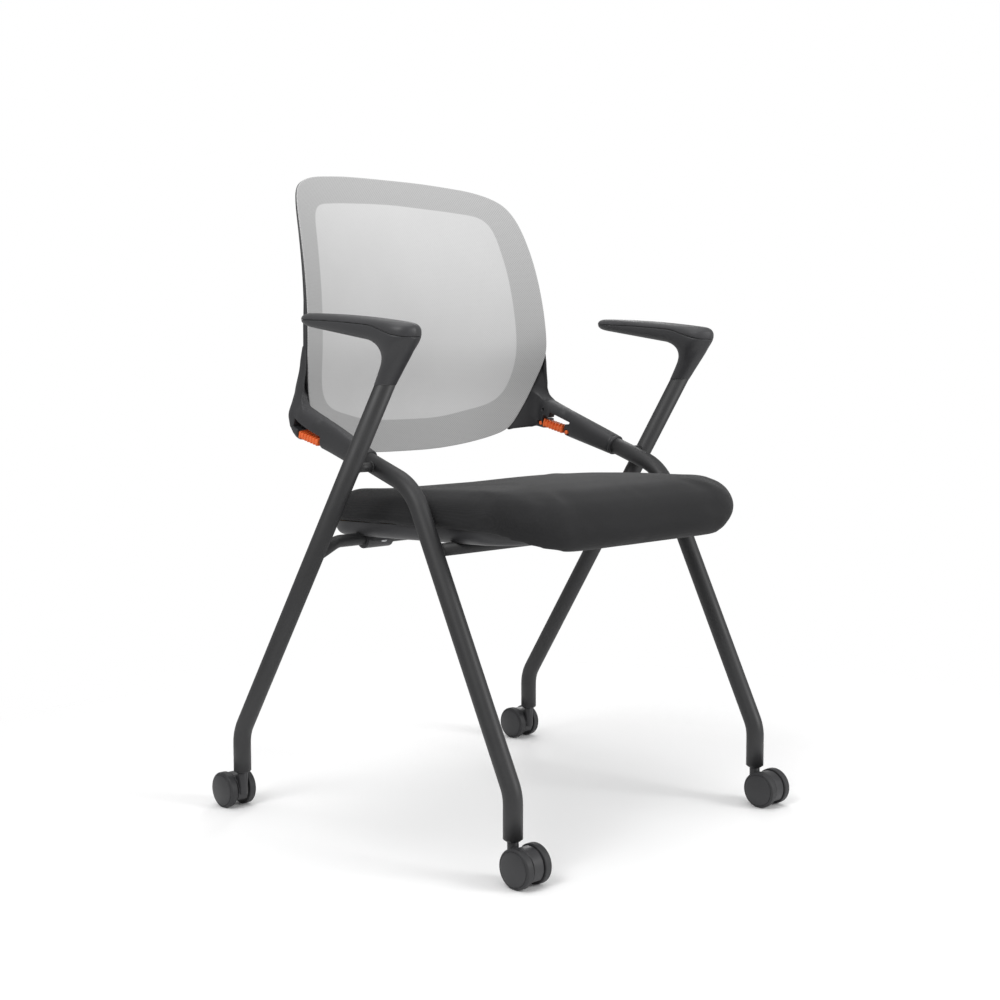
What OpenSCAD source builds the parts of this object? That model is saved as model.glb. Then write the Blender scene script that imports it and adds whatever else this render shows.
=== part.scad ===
// Nesting chair with arms: bent tube frame, flexing mesh back, flip-up seat and four twin-wheel castors.
// The floor is Z = 0, the chair faces -Y, and the origin lies midway between the four feet.

/* [Leg tubes] */
// Outside diameter of the four leg tubes
tube_d = 25; // [22:0.5:26]
// Wall of every steel tube
tube_wall = 2; // [1:0.25:3]
// From the middle of the chair to each front leg
front_x = 248; // [235:1:260]
// From the middle of the chair to each rear leg
rear_x = 293; // [288:1:310]
// From the middle of the chair to each foot, forward or back
foot_y = 250; // [235:1:265]
// Height of the lower end of the leg tubes
foot_z = 55; // [54:0.5:60]
// Height of the bend above each foot
foot_bend_z = 110; // [100:1:120]
// Radius of the bend above each foot
foot_bend_r = 55; // [45:1:70]
// Lean of the front legs from upright, in degrees
front_lean = 26.3; // [24:0.1:28]
// Lean of the rear legs from upright, in degrees
rear_lean = 32.6; // [31:0.1:34]
// Height at which the front tube turns into its back run
shoulder_z = 476; // [470:1:482]
// Radius of the shoulder bend
shoulder_r = 75; // [60:1:90]
// Rise of the back run from level, in degrees
run_rise = 19; // [17:0.5:21]
// Length of the back run from the shoulder's corner
run_len = 172; // [150:1:180]
// Height of the upper end of the rear tube, inside the arm
rear_top_z = 664; // [650:1:668]

/* [Cross tubes] */
// Outside diameter of the two tubes under the seat
cross_d = 17; // [15:0.5:19]
// Height of the rear cross tube, which the seat turns on
pivot_z = 395; // [390:1:400]
// Height of the front cross tube, which the seat rests on
front_cross_z = 398; // [394:1:402]
// From the middle of the chair to the bend near each end of the rear cross tube
cross_bend_x = 254; // [250:1:262]
// Droop of those ends from level, in degrees
cross_droop = 25; // [15:1:30]
// Radius of those bends
cross_bend_r = 30; // [24:1:40]
// Diameter of the short tube that bridges the front and rear leg
bridge_d = 12.5; // [10:0.5:14]

/* [Arms] */
// Front end of the armrest
arm_front_y = 128; // [120:1:140]
// Rear end of the armrest
arm_rear_y = 95; // [85:1:110]
// Height of the armrest's top over the post
arm_z = 689; // [685:1:700]
// Height gained by the armrest's top toward its rear end
arm_rise = 11; // [4:1:16]
// Thickness of the armrest at its rear end
arm_tail_t = 11; // [10:0.5:14]
// Width of the armrest
arm_w = 50; // [42:1:60]
// Wall of the post around the tube at its lower end
post_t = 1.5; // [1:0.25:2.5]
// Height of the post's lower end
post_z = 608; // [600:1:615]
// Thickness of the pad on top of the arm body
arm_pad_t = 8; // [5:0.5:10]

/* [Back] */
// Depth of the mesh's front face on the centre line, at the lumbar bulge
back_y = 224; // [218:1:235]
// Radius of the back's wrap around the sitter, seen from above
wrap_r = 450; // [400:5:600]
// Height of the lumbar bulge
lumbar_z = 665; // [640:5:690]
// Radius of the back's curve above the bulge, seen from the side
upper_curve_r = 600; // [500:10:800]
// How far the back recedes below the bulge
lumbar_drop = 10.7; // [4:0.1:14]
// Height over which it recedes
lumbar_fade = 100; // [80:5:120]
// Height of the top edge on the centre line
back_top_z = 910.5; // [900:0.5:925]
// Height of the bottom edge on the centre line
back_bottom_z = 499; // [492:1:504]
// Half the widest width of the mesh
mesh_half_w = 237.5; // [232:0.5:240]
// Thickness of the mesh panel
mesh_t = 2; // [1.2:0.1:3]
// Thickness of the ring behind the mesh
ring_t = 7; // [5:0.5:9]
// Outer diameter of the sleeve at its front end
sleeve_d = 30; // [29:0.5:32]
// Height of the sleeve at the notch
sleeve_rear_d = 41; // [38:0.5:42]
// Width of the sleeve
sleeve_w = 30; // [29:0.5:31]
// Distance of the sleeve's front end behind the middle of the chair
sleeve_y = 18; // [14:1:22]
// Width of the elbow and its notch
elbow_w = 25; // [23:1:26]
// How far the elbow sits inward of the front tube
elbow_in = 4.5; // [3:0.5:5]
// Depth of the elbow's front face
elbow_front_y = 162.5; // [161:0.5:164]
// Depth of the elbow's rear face
elbow_rear_y = 188; // [186:1:192]
// Height of the elbow's upper end
elbow_top_z = 664; // [650:1:675]
// Depth of the flex axis behind the middle of the chair
flex_y = 150; // [146:1:154]
// Thickness of the flexing strap over the notch
strap_t = 17; // [15:0.5:18]
// Depth at which the notch for the spring block starts
notch_y = 110; // [108:1:114]
// Length of the notch
notch_len = 58; // [54:1:62]

/* [Seat] */
// Half the width of the cushion
cushion_half_w = 228; // [215:1:228]
// Reach of the cushion ahead of the pivot
cushion_front = 342; // [330:1:350]
// Reach of the cushion behind the pivot
cushion_rear = 94; // [85:1:100]
// Corner radius of the cushion, seen from above
cushion_corner_r = 76; // [60:1:90]
// Height of the cushion's top edge above its flat base
cushion_t = 45; // [38:1:52]
// Height of the crown above the top edge
cushion_crown = 9; // [4:0.5:14]
// Depth of the dish in the rear of the cushion
seat_dish = 17; // [0:0.5:20]
// How far the front lip hangs below the flat base
lip_drop = 39; // [20:1:42]
// Length over which the front lip forms
lip_len = 140; // [110:1:160]
// How far the top rolls down toward the rear edge
rear_roll = 6; // [0:0.5:14]
// Depth of the seat pan
pan_depth = 21; // [20:0.5:24]
// Wall of the seat pan
pan_wall = 3; // [2:0.25:4]
// Thickness of the seat board
board_t = 9; // [8:0.5:10]
// Slope of the seat, front edge up, in degrees
seat_slope = 1.8; // [0:0.1:3]

/* [Castors] */
// Diameter of the castor wheels
wheel_d = 51; // [48:0.5:52]
// Width of one castor wheel
wheel_w = 12; // [10:0.5:13]
// Distance between the middles of the two wheels of a castor
wheel_gap = 32; // [30:0.5:34]
// Trail of the wheels' axle from the stem
trail = 21.5; // [20:0.5:23]
// Diameter of the axle
axle_d = 6; // [5:0.5:7]
// Diameter of the stem
stem_d = 11; // [9:0.5:12]
// Diameter of the neck around the stem
neck_d = 14.5; // [14:0.25:15]

/* [Hidden] */

$fn = 48;
// Overrun of every cut
over = 1;
// Running clearance between a shaft and its bore
run_gap = 0.1;
// Clearance between neighbours that move past each other
free_gap = 0.3;
// How far the straights of a bent tube reach into its bends, and how much thicker the bends are
bend_lap = 0.3;
bend_swell = 0.4;
// Points of a rounded corner of an outline
corner_steps = 6;
outline_steps = 4;

steel = [0.20, 0.20, 0.21];
plastic = [0.16, 0.16, 0.17];
mesh_grey = [0.75, 0.75, 0.76];
fabric = [0.12, 0.12, 0.13];
orange = [0.90, 0.38, 0.16];
bright = [0.62, 0.62, 0.64];
wood = [0.72, 0.56, 0.38];

// Places along the legs, worked out from their leans
function front_leg_y(z) = -foot_y + (z - foot_bend_z) * tan(front_lean);
function rear_leg_y(z) = foot_y - (z - foot_bend_z) * tan(rear_lean);
shoulder_y = front_leg_y(shoulder_z);
pivot_y = rear_leg_y(pivot_z - (rear_x - cross_bend_x) * tan(cross_droop));
front_cross_y = front_leg_y(front_cross_z);

// Middle of the elbow and its notch
elbow_x = front_x - elbow_in;

// Height of the back run's centre line
function run_z(y) = shoulder_z + (y - shoulder_y) * tan(run_rise);

// The legs cross where the rear leg meets the front tube's back run
cross_y = (foot_y + (foot_bend_z - shoulder_z + shoulder_y * tan(run_rise)) * tan(rear_lean))
    / (1 + tan(run_rise) * tan(rear_lean));
cross_z = run_z(cross_y);

// Outline helpers: unit vector, one rounded corner, and a closed outline of rounded corners
function unit(v) = v / norm(v);
function corner(a, b, c, r, n) =
    let (u = unit(a - b), v = unit(c - b), half = acos(u * v) / 2,
        middle = b + unit(u + v) * r / sin(half),
        p = b + u * r / tan(half) - middle, q = b + v * r / tan(half) - middle,
        start = atan2(p[1], p[0]), turn = atan2(p[0] * q[1] - p[1] * q[0], p * q))
    [for (k = [0 : n]) middle + r * [cos(start + turn * k / n), sin(start + turn * k / n)]];
function rounded(points, radii, n = corner_steps) =
    let (count = len(points))
    [for (i = [0 : count - 1])
        each corner(points[(i + count - 1) % count], points[i], points[(i + 1) % count], radii[i], n)];
// Turns a shape drawn in the XY plane and raised along Z so that it stands in the YZ plane and runs along X
module upright() { rotate([90, 0, 90]) children(); }
// A prism of a YZ outline, centred on X = 0
module side_prism(outline, width) { upright() linear_extrude(width, center = true) polygon(outline); }

// A round bar along a path of points in the XY plane, listed so that every bend turns left
function path_dir(points, i) = unit(points[i + 1] - points[i]);
function path_turn(points, i) =
    let (u = path_dir(points, i - 1), v = path_dir(points, i)) atan2(u[0] * v[1] - u[1] * v[0], u * v);
function path_trim(points, radii, i, extra) =
    i == 0 || i == len(points) - 1 ? -extra : radii[i - 1] * tan(path_turn(points, i) / 2);
// The straights reach into the bends by bend_lap, and the bends are thicker by bend_swell, so that they join fully.
module bar_path(points, radii, d, extra) {
    last = len(points) - 1;
    for (i = [0 : last - 1]) {
        dir = path_dir(points, i);
        from = path_trim(points, radii, i, extra) - (i == 0 ? 0 : bend_lap);
        to = path_trim(points, radii, i + 1, extra) - (i == last - 1 ? 0 : bend_lap);
        translate(points[i] + dir * from) rotate([0, 0, atan2(dir[1], dir[0])]) rotate([0, 90, 0])
            cylinder(d = d, h = norm(points[i + 1] - points[i]) - from - to);
    }
    for (i = [1 : last - 1]) {
        dir = path_dir(points, i - 1);
        middle = points[i] - dir * path_trim(points, radii, i, extra) + radii[i - 1] * [-dir[1], dir[0]];
        translate(middle) rotate([0, 0, atan2(dir[1], dir[0]) - 90])
            rotate_extrude(angle = path_turn(points, i)) translate([radii[i - 1], 0]) circle(d = d + bend_swell);
    }
}
module tube_path(points, radii, d) {
    difference() {
        bar_path(points, radii, d, 0);
        bar_path(points, radii, d - 2 * tube_wall, over);
    }
}

// Legs
front_path = [[shoulder_y + run_len * cos(run_rise), shoulder_z + run_len * sin(run_rise)],
    [shoulder_y, shoulder_z], [-foot_y, foot_bend_z], [-foot_y, foot_z]];
front_radii = [shoulder_r, foot_bend_r];
rear_path = [[foot_y, foot_z], [foot_y, foot_bend_z], [rear_leg_y(rear_top_z), rear_top_z]];

module front_leg(side) {
    color(steel) translate([side * front_x, 0, 0]) upright()
        tube_path(front_path, front_radii, tube_d);
}
module rear_leg(side) {
    color(steel) translate([side * rear_x, 0, 0]) upright() tube_path(rear_path, [foot_bend_r], tube_d);
}
// The space that the legs take up, cut out of the tubes welded to them
module front_leg_space(side) {
    translate([side * front_x, 0, 0]) upright() bar_path(front_path, front_radii, tube_d, 0);
}
module rear_leg_space(side) {
    translate([side * rear_x, 0, 0]) upright() bar_path(rear_path, [foot_bend_r], tube_d, 0);
}

// Tubes welded between the legs
module front_cross_tube() {
    color(steel) difference() {
        translate([0, front_cross_y, front_cross_z]) rotate([0, 90, 0]) difference() {
            cylinder(d = cross_d, h = 2 * front_x, center = true);
            cylinder(d = cross_d - 2 * tube_wall, h = 2 * front_x + 2 * over, center = true);
        }
        for (side = [-1, 1]) front_leg_space(side);
    }
}
cross_end_z = pivot_z - (rear_x - cross_bend_x) * tan(cross_droop);
module rear_cross_tube() {
    color(steel) difference() {
        translate([0, pivot_y, 0]) rotate([90, 0, 0])
            tube_path([[rear_x, cross_end_z], [cross_bend_x, pivot_z], [-cross_bend_x, pivot_z],
                [-rear_x, cross_end_z]], [cross_bend_r, cross_bend_r], cross_d);
        for (side = [-1, 1]) rear_leg_space(side);
    }
}
module leg_bridges() {
    color(steel) for (side = [-1, 1]) difference() {
        translate([side * (front_x + rear_x) / 2, cross_y, cross_z]) rotate([0, 90, 0]) difference() {
            cylinder(d = bridge_d, h = rear_x - front_x, center = true);
            cylinder(d = bridge_d - 2 * tube_wall, h = rear_x - front_x + 2 * over, center = true);
        }
        front_leg_space(side);
        rear_leg_space(side);
    }
}

// Foot plugs: a spigot in the tube's end and a chamfered collar below it
plug_collar_h = 2.5;
plug_chamfer = 3.2;
plug_len = 30;
neck_z = foot_z - plug_collar_h;
module foot_plug() {
    difference() {
        union() {
            translate([0, 0, foot_z]) cylinder(d = tube_d - 2 * tube_wall, h = plug_len);
            translate([0, 0, neck_z])
                cylinder(d1 = tube_d - 2 * plug_chamfer, d2 = tube_d, h = plug_collar_h);
        }
        translate([0, 0, neck_z - over]) cylinder(d = stem_d, h = plug_len + plug_collar_h - tube_wall + over);
    }
}
// Feet: name order front left, front right, rear left, rear right, with left at +X
feet = [[front_x, -foot_y, -1], [-front_x, -foot_y, -1], [rear_x, foot_y, 1], [-rear_x, foot_y, 1]];
module foot_plugs() {
    color(plastic) for (foot = feet) translate([foot[0], foot[1], 0]) foot_plug();
}

// Arms: a beam with a flat top and a rounded underside, on a post that flares out of the tube.
// Both are cut to one side outline and one outline seen from above.
nose_t = 6;
nose_r = 1.5;
tail_r = 4;
arm_tail_w = 34;
under_r = 36;
camber_r = 60;
arm_bend = 33;
knee_y = -arm_front_y * 2 / 3;
arm_top_z = arm_z + arm_rise;
arm_tail_z = arm_top_z - arm_tail_t;
arm_tilt = atan(arm_rise / (arm_rear_y - knee_y));
tube_reach = tube_d / 2 / cos(rear_lean);
// Depth of the tube's front edge at height z
function tube_front_y(z) = rear_leg_y(z) - tube_reach;
under_z = arm_z - arm_bend;
under_y = rear_leg_y(under_z) + tube_reach + post_t;
under_rise = atan((arm_tail_z - under_z) / (arm_rear_y - under_y));
nose_low_z = arm_z - nose_t;
arm_outline = rounded(
    [[arm_rear_y, arm_top_z + over], [-arm_front_y, arm_top_z + over], [-arm_front_y, nose_low_z],
        [tube_front_y(nose_low_z - 7 * nose_t) - 2 * post_t, nose_low_z - 7 * nose_t],
        [tube_front_y(post_z) - 2 * post_t, post_z - over], [under_y + arm_w, post_z - over],
        [arm_rear_y, post_z + arm_w]],
    [tail_r, nose_r, nose_r, arm_w, nose_r, nose_r, nose_r]);
arm_plan = rounded(
    [[arm_w / 2, -arm_front_y], [arm_w / 2, -arm_front_y / 3], [arm_tail_w / 2, arm_rear_y],
        [-arm_tail_w / 2, arm_rear_y], [-arm_w / 2, -arm_front_y / 3], [-arm_w / 2, -arm_front_y]],
    [arm_w * 0.46, arm_w * 4, arm_tail_w * 0.4, arm_tail_w * 0.4, arm_w * 4, arm_w * 0.46]);
// The flare, as radius and distance along the tube's axis
post_r = tube_d / 2 + post_t;
flare_len = (arm_z - post_z) / cos(rear_lean);
flare_shares = [[1, 0], [1.14, 0.27], [1.36, 0.53], [1.66, 0.7], [2.2, 0.8], [3.2, 0.88], [3.2, 2]];
flare = concat([[0, 0]], [for (s = flare_shares) [s[0] * post_r, s[1] * flare_len]], [[0, 2 * flare_len]]);
module arm_shape() {
    intersection() {
        side_prism(arm_outline, arm_w + over);
        translate([0, 0, post_z - over]) linear_extrude(arm_top_z - post_z + 2 * over) polygon(arm_plan);
        union() {
            translate([0, rear_leg_y(post_z), post_z]) rotate([rear_lean, 0, 0])
                rotate_extrude() polygon(flare);
            translate([0, under_y, under_z]) rotate([under_rise, 0, 0]) translate([0, 0, under_r])
                rotate([90, 0, 0]) cylinder(r = under_r, h = 3 * arm_front_y, center = true);
        }
        // The camber of the top
        translate([0, knee_y, arm_z]) rotate([arm_tilt, 0, 0]) translate([0, 0, -camber_r])
            rotate([90, 0, 0]) cylinder(r = camber_r, h = 4 * arm_front_y, center = true);
    }
}
// Places on the seam between the arm body and its pad
module on_seam(y) {
    translate([0, y, arm_z - arm_pad_t + (y - knee_y) * tan(arm_tilt)]) rotate([arm_tilt, 0, 0]) children();
}
module above_seam() {
    on_seam(0) translate([0, 0, arm_w]) cube([2 * arm_w, 4 * arm_front_y, 2 * arm_w], center = true);
}
// Two screws hold each pad from below
arm_screw_d = 4;
arm_screw_grip = 7;
arm_screw_tip = 4;
arm_screw_head_d = 8;
arm_screw_head_t = 3;
arm_screw_y = [knee_y / 4, arm_rear_y * 0.4];
module arm_screw_pair(head_h) {
    for (y = arm_screw_y) on_seam(y) {
        translate([0, 0, -arm_screw_grip]) cylinder(d = arm_screw_d, h = arm_screw_grip + arm_screw_tip);
        translate([0, 0, -arm_screw_grip - head_h]) cylinder(d = arm_screw_head_d, h = head_h);
    }
}
module arm_body(side) {
    color(plastic) translate([side * rear_x, 0, 0]) difference() {
        arm_shape();
        above_seam();
        upright() bar_path(rear_path, [foot_bend_r], tube_d, free_gap);
        arm_screw_pair(arm_w / 2);
    }
}
module arm_pad(side) {
    color(plastic) translate([side * rear_x, 0, 0]) difference() {
        intersection() {
            arm_shape();
            above_seam();
        }
        arm_screw_pair(arm_screw_head_t);
    }
}
module arm_screws() {
    color(bright) for (side = [-1, 1]) translate([side * rear_x, 0, 0]) arm_screw_pair(arm_screw_head_t);
}

// Back: the surface recedes from the lumbar bulge upward along an arc and downward along a soft step
function recede(z) = z > lumbar_z
    ? upper_curve_r - sqrt(pow(upper_curve_r, 2) - pow(z - lumbar_z, 2))
    : lumbar_drop * (1 - cos(180 * min(1, (lumbar_z - z) / lumbar_fade))) / 2;
back_steps = 14;
band_low = back_bottom_z - 2 * over;
band_high = back_top_z + 2 * over;
band_z = [for (k = [0 : back_steps]) band_low + (band_high - band_low) * k / back_steps];
// Half the angle that the band turns through
band_angle = 34;
// A curved sheet of the back, from one depth behind the mesh's front face to another
module back_band(near, far) {
    outline = concat([for (z = band_z) [wrap_r + recede(z) + near, z]],
        [for (k = [back_steps : -1 : 0]) [wrap_r + recede(band_z[k]) + far, band_z[k]]]);
    translate([0, back_y - wrap_r, 0]) rotate([0, 0, 90 - band_angle])
        rotate_extrude(angle = 2 * band_angle, $fn = 96) polygon(outline);
}
module front_prism() {
    translate([0, back_y + wrap_r, 0]) rotate([90, 0, 0]) linear_extrude(2 * wrap_r) children();
}
// Right halves of the outlines, from the bottom up. Each point has its depth in from the middle as a share
// of the half width, its height as a share of the height, and its corner radius as a share of the half width.
back_h = back_top_z - back_bottom_z;
side_shares = [[1.008, 0.366, 0.84], [0.983, 0.634, 1.26], [0.933, 0.804, 0.63], [0.842, 0.949, 0.09],
    [0.693, 0.975, 0.84], [0.336, 1, 1.68]];
mesh_shares = concat([[0.315, 0, 2.1], [0.674, 0.039, 0.84], [0.803, 0.072, 0.03], [0.941, 0.196, 0.34]],
    side_shares);
// The ring's corner reaches just into the elbow below the strap, and past it above
corner_share = (elbow_x - elbow_w / 2 + free_gap) / mesh_half_w;
frame_shares = concat([[0.315, 0.003, 2.1], [0.674, 0.044, 0.6], [0.79, 0.077, 0.1],
    [corner_share, 0.077, 0.02], [corner_share, 0.17, 0.01], [1.024, 0.19, 0.01], [1.024, 0.237, 0.3]],
    side_shares);
window_shares = [[0.25, 0.118, 1.7], [0.69, 0.165, 0.26], [0.8, 0.23, 0.12], [0.825, 0.43, 1.7],
    [0.78, 0.8, 1.3], [0.76, 0.885, 0.09], [0.42, 0.903, 1.7]];
function outline_of(shares) =
    let (half = [for (s = shares) [s[0] * mesh_half_w, back_bottom_z + s[1] * back_h]],
        radii = [for (s = shares) s[2] * mesh_half_w], last = len(shares) - 1)
    rounded(concat(half, [for (i = [last : -1 : 0]) [-half[i][0], half[i][1]]]),
        concat(radii, [for (i = [last : -1 : 0]) radii[i]]), outline_steps);
module mesh_panel() {
    color(mesh_grey) intersection() {
        back_band(0, mesh_t);
        front_prism() polygon(outline_of(mesh_shares));
    }
}

// The sleeve, the strap, the knuckle at the flex axis and the elbow follow the front tube's back run
strap_rise = (sleeve_rear_d - strap_t) / 2;
strap_low = strap_rise - strap_t / 2;
flex_z = run_z(flex_y) + strap_rise / cos(run_rise);
notch_end_y = notch_y + notch_len;
sleeve_len = (notch_y - sleeve_y) / cos(run_rise);
// Depth of the point of the run's centre line that lies square below the flex axis
flex_foot_y = flex_y + strap_rise * sin(run_rise);
strap_len = (flex_foot_y - notch_y) / cos(run_rise);
spring_len = notch_len / cos(run_rise);
strap_w = elbow_w - over / 2;
knob_d = 8;
spring_h = 13;
// Depth of the spring block's centre below the run's centre line
spring_low = sleeve_rear_d / 2 - spring_h / 2 - over / 2;
// Moves to the back run at depth y, with +Y then running up the run and +Z square to it
module on_run(y) { translate([0, y, run_z(y)]) rotate([run_rise, 0, 0]) children(); }
module along_x(d, w) { rotate([0, 90, 0]) cylinder(d = d, h = w, center = true); }
// The run's own outline point at depth y, raised square to the run
function run_point(y, rise) = [y - rise * sin(run_rise), run_z(y) + rise * cos(run_rise)];
module set_screw() {
    on_run(sleeve_y + sleeve_len / 2) translate([0, 0, -tube_d / 2 - set_screw_len])
        cylinder(d = set_screw_d, h = set_screw_len);
}
set_screw_d = 5;
set_screw_len = 4;
module back_sleeve(side) {
    color(plastic) difference() {
        union() {
            translate([side * front_x, 0, 0]) intersection() {
                on_run(sleeve_y) rotate([-90, 0, 0]) cylinder(d1 = sleeve_d, d2 = sleeve_rear_d, h = sleeve_len);
                side_prism([[-foot_y, foot_z], [foot_y, foot_z], [foot_y, back_top_z], [-foot_y, back_top_z]],
                    sleeve_w);
            }
            translate([side * elbow_x, 0, 0]) {
                translate([0, flex_y, flex_z]) along_x(strap_t, elbow_w);
            }
            // The strap carries the sleeve's round top on to the flex axis
            intersection() {
                translate([side * front_x, 0, 0]) on_run(notch_y) translate([0, -elbow_w, 0])
                    rotate([-90, 0, 0]) cylinder(d = sleeve_rear_d - over / 2, h = elbow_w + strap_len);
                translate([side * elbow_x, 0, 0]) on_run(notch_y)
                    translate([-strap_w / 2, -elbow_w, strap_low + over / 2])
                    cube([strap_w, elbow_w + strap_len, sleeve_rear_d]);
            }
        }
        translate([side * front_x, 0, 0]) {
            on_run(sleeve_y) translate([0, -over, 0]) rotate([-90, 0, 0])
                cylinder(d = tube_d, h = over + run_len - (sleeve_y - shoulder_y) / cos(run_rise) + free_gap);
            set_screw();
        }
        // Pocket for the spring block's front knob
        translate([side * elbow_x, 0, 0]) on_run(notch_y) translate([0, 0, -spring_low])
            along_x(knob_d + 2 * free_gap, 2 * elbow_w);
    }
}
module sleeve_screws() {
    color(bright) for (side = [-1, 1]) translate([side * front_x, 0, 0]) set_screw();
}

// Spring block: a body with grooves across it and a round knob at each end
rib_count = 5;
groove_d = 3;
spring_w = elbow_w - 2 * over;
module flex_spring(side) {
    body_len = spring_len - knob_d;
    color(orange) translate([side * elbow_x, 0, 0]) on_run(notch_y) {
        difference() {
            translate([-spring_w / 2, knob_d / 2, -spring_low - spring_h / 2])
                cube([spring_w, body_len, spring_h]);
            for (i = [1 : rib_count], rise = [-1, 1])
                translate([0, knob_d / 2 + body_len * i / (rib_count + 1), -spring_low + rise * spring_h / 2])
                    along_x(groove_d, elbow_w + over);
        }
        for (y = [free_gap, spring_len - free_gap]) translate([0, y, -spring_low]) along_x(knob_d, spring_w);
    }
}

// Elbow: the moving side of the notch, rising to the ring's lower corner and tapering out behind the mesh
notch_floor = sleeve_rear_d / 2;
elbow_corner_r = 18;
elbow_edge_r = 15;
elbow_tip_t = 4;
elbow_knee_z = flex_z + strap_t;
elbow_start_y = flex_foot_y + strap_t / 4;
elbow_outline = rounded(
    [run_point(elbow_start_y, strap_low), run_point(notch_end_y, strap_low),
        run_point(notch_end_y, -notch_floor),
        [elbow_rear_y + elbow_tip_t / 2, run_z(elbow_rear_y) - notch_floor / cos(run_rise)],
        [elbow_rear_y, elbow_knee_z], [elbow_front_y + elbow_tip_t, elbow_top_z],
        [elbow_front_y + elbow_tip_t / 2, elbow_top_z],
        [elbow_front_y, run_z(elbow_front_y) + notch_floor / cos(run_rise)],
        run_point(elbow_start_y, notch_floor)],
    [over / 4, elbow_tip_t / 2, elbow_tip_t / 4, elbow_corner_r, 2 * elbow_corner_r, over / 4, over / 4,
        elbow_corner_r / 2, over / 4], outline_steps);
edge_gap = 2 * free_gap;
elbow_front = [[elbow_x - elbow_w / 2, back_bottom_z], [elbow_x + elbow_w / 2, back_bottom_z],
    [elbow_x + elbow_w / 2, flex_z + elbow_tip_t], [mesh_half_w + 2 * elbow_tip_t, elbow_knee_z + elbow_tip_t],
    [mesh_half_w + elbow_tip_t, elbow_top_z], [mesh_half_w + edge_gap, elbow_top_z],
    [mesh_half_w + edge_gap, back_bottom_z + 0.35 * back_h],
    [elbow_x - elbow_w / 2, back_bottom_z + 0.26 * back_h]];
elbow_plan = concat(
    [[elbow_x - elbow_w, cross_y], [elbow_x + elbow_w / 2, cross_y]],
    corner([elbow_x + elbow_w / 2, cross_y], [elbow_x + elbow_w / 2, elbow_rear_y + elbow_tip_t],
        [cross_y, elbow_rear_y + elbow_tip_t], elbow_edge_r, outline_steps),
    [[elbow_x - elbow_w, elbow_rear_y + elbow_tip_t]]);
module back_elbow() {
    difference() {
        intersection() {
            translate([elbow_x, 0, 0]) side_prism(elbow_outline, elbow_w);
            front_prism() polygon(elbow_front);
            linear_extrude(back_top_z) polygon(elbow_plan);
        }
        translate([elbow_x, flex_y, flex_z]) along_x(strap_t + 2 * free_gap, elbow_w + over);
        translate([elbow_x, 0, 0]) on_run(notch_end_y) translate([0, 0, -spring_low])
            along_x(knob_d + 2 * free_gap, elbow_w + over);
    }
}
module back_frame() {
    color(plastic) {
        intersection() {
            back_band(mesh_t, mesh_t + ring_t);
            front_prism() difference() {
                polygon(outline_of(frame_shares));
                polygon(outline_of(window_shares));
            }
        }
        back_elbow();
        mirror([1, 0, 0]) back_elbow();
    }
}

// Seat: drawn about the pivot, with +Y to the rear
module on_pivot() { translate([0, pivot_y, pivot_z]) rotate([-seat_slope, 0, 0]) children(); }
pan_low = 3;
pan_top = pan_low + pan_depth;
pan_inset = 8;
lip_inset = 39;
function pan_rect(inset) = [
    [-cushion_half_w + pan_inset + inset, -cushion_front + lip_inset + inset],
    [cushion_half_w - pan_inset - inset, -cushion_front + lip_inset + inset],
    [cushion_half_w - pan_inset - inset, cushion_rear - pan_inset - inset],
    [-cushion_half_w + pan_inset + inset, cushion_rear - pan_inset - inset]];
function pan_outline(inset, n = corner_steps) =
    let (r = cushion_corner_r - pan_inset - inset) rounded(pan_rect(inset), [r, r, r, r], n);
// Place of the front cross tube, seen from the pivot
front_cross_dy = (front_cross_y - pivot_y) * cos(seat_slope) - (front_cross_z - pivot_z) * sin(seat_slope);
front_cross_dz = (front_cross_z - pivot_z) * cos(seat_slope) + (front_cross_y - pivot_y) * sin(seat_slope);
channel_gap = 2;
channel_wall = 3;
saddle_w = 44;
saddle_x = 186;
rest_x = 165;
rest_w = 50;
rest_gap = 1.5;
module pan_slab(low, high, inset) {
    translate([0, 0, low]) linear_extrude(high - low) polygon(pan_outline(inset));
}
module cross_channel(dy, dz, d) { translate([0, dy, dz]) along_x(d, 2 * cushion_half_w + over); }
module seat_pan() {
    channel_d = cross_d + 2 * channel_gap;
    color(plastic) on_pivot() difference() {
        union() {
            difference() {
                pan_slab(pan_low, pan_top, 0);
                pan_slab(pan_low + pan_wall, pan_top + over, pan_wall);
            }
            intersection() {
                union() {
                    cross_channel(0, 0, channel_d + 2 * channel_wall);
                    cross_channel(front_cross_dy, front_cross_dz, channel_d + 2 * channel_wall);
                    for (side = [-1, 1]) translate([side * saddle_x, 0, pan_low])
                        cube([saddle_w, 3 * cross_d, 2 * pan_depth], center = true);
                    for (p = board_screw_places) translate([p[0], p[1], 0]) cylinder(d = boss_d, h = pan_top);
                }
                pan_slab(pan_low, pan_top - board_t, 0);
            }
            for (side = [-1, 1]) translate([side * rest_x, front_cross_dy, front_cross_dz + pan_low / 2])
                cube([rest_w, cross_d + 2 * rest_gap + 2 * pan_wall, cross_d + pan_low], center = true);
        }
        along_x(cross_d + 2 * run_gap, 2 * cushion_half_w + over);
        pivot_room();
        cross_channel(front_cross_dy, front_cross_dz, cross_d + 2 * free_gap);
        translate([0, front_cross_dy, front_cross_dz - cross_d]) cube([2 * cushion_half_w + over,
            cross_d + 2 * rest_gap, 2 * cross_d], center = true);
        for (p = board_screw_places) translate([p[0], p[1], 0]) cylinder(d = board_screw_d, h = 2 * pan_top);
        for (side = [-1, 1], end = [-1, 1]) translate([side * saddle_x, end * clamp_screw_y, -cross_d])
            cylinder(d = clamp_screw_d, h = cross_d + pan_low + clamp_grip);
    }
}
clamp_screw_y = 18;
clamp_screw_d = 5;
clamp_grip = 8;
clamp_t = 5;
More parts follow.
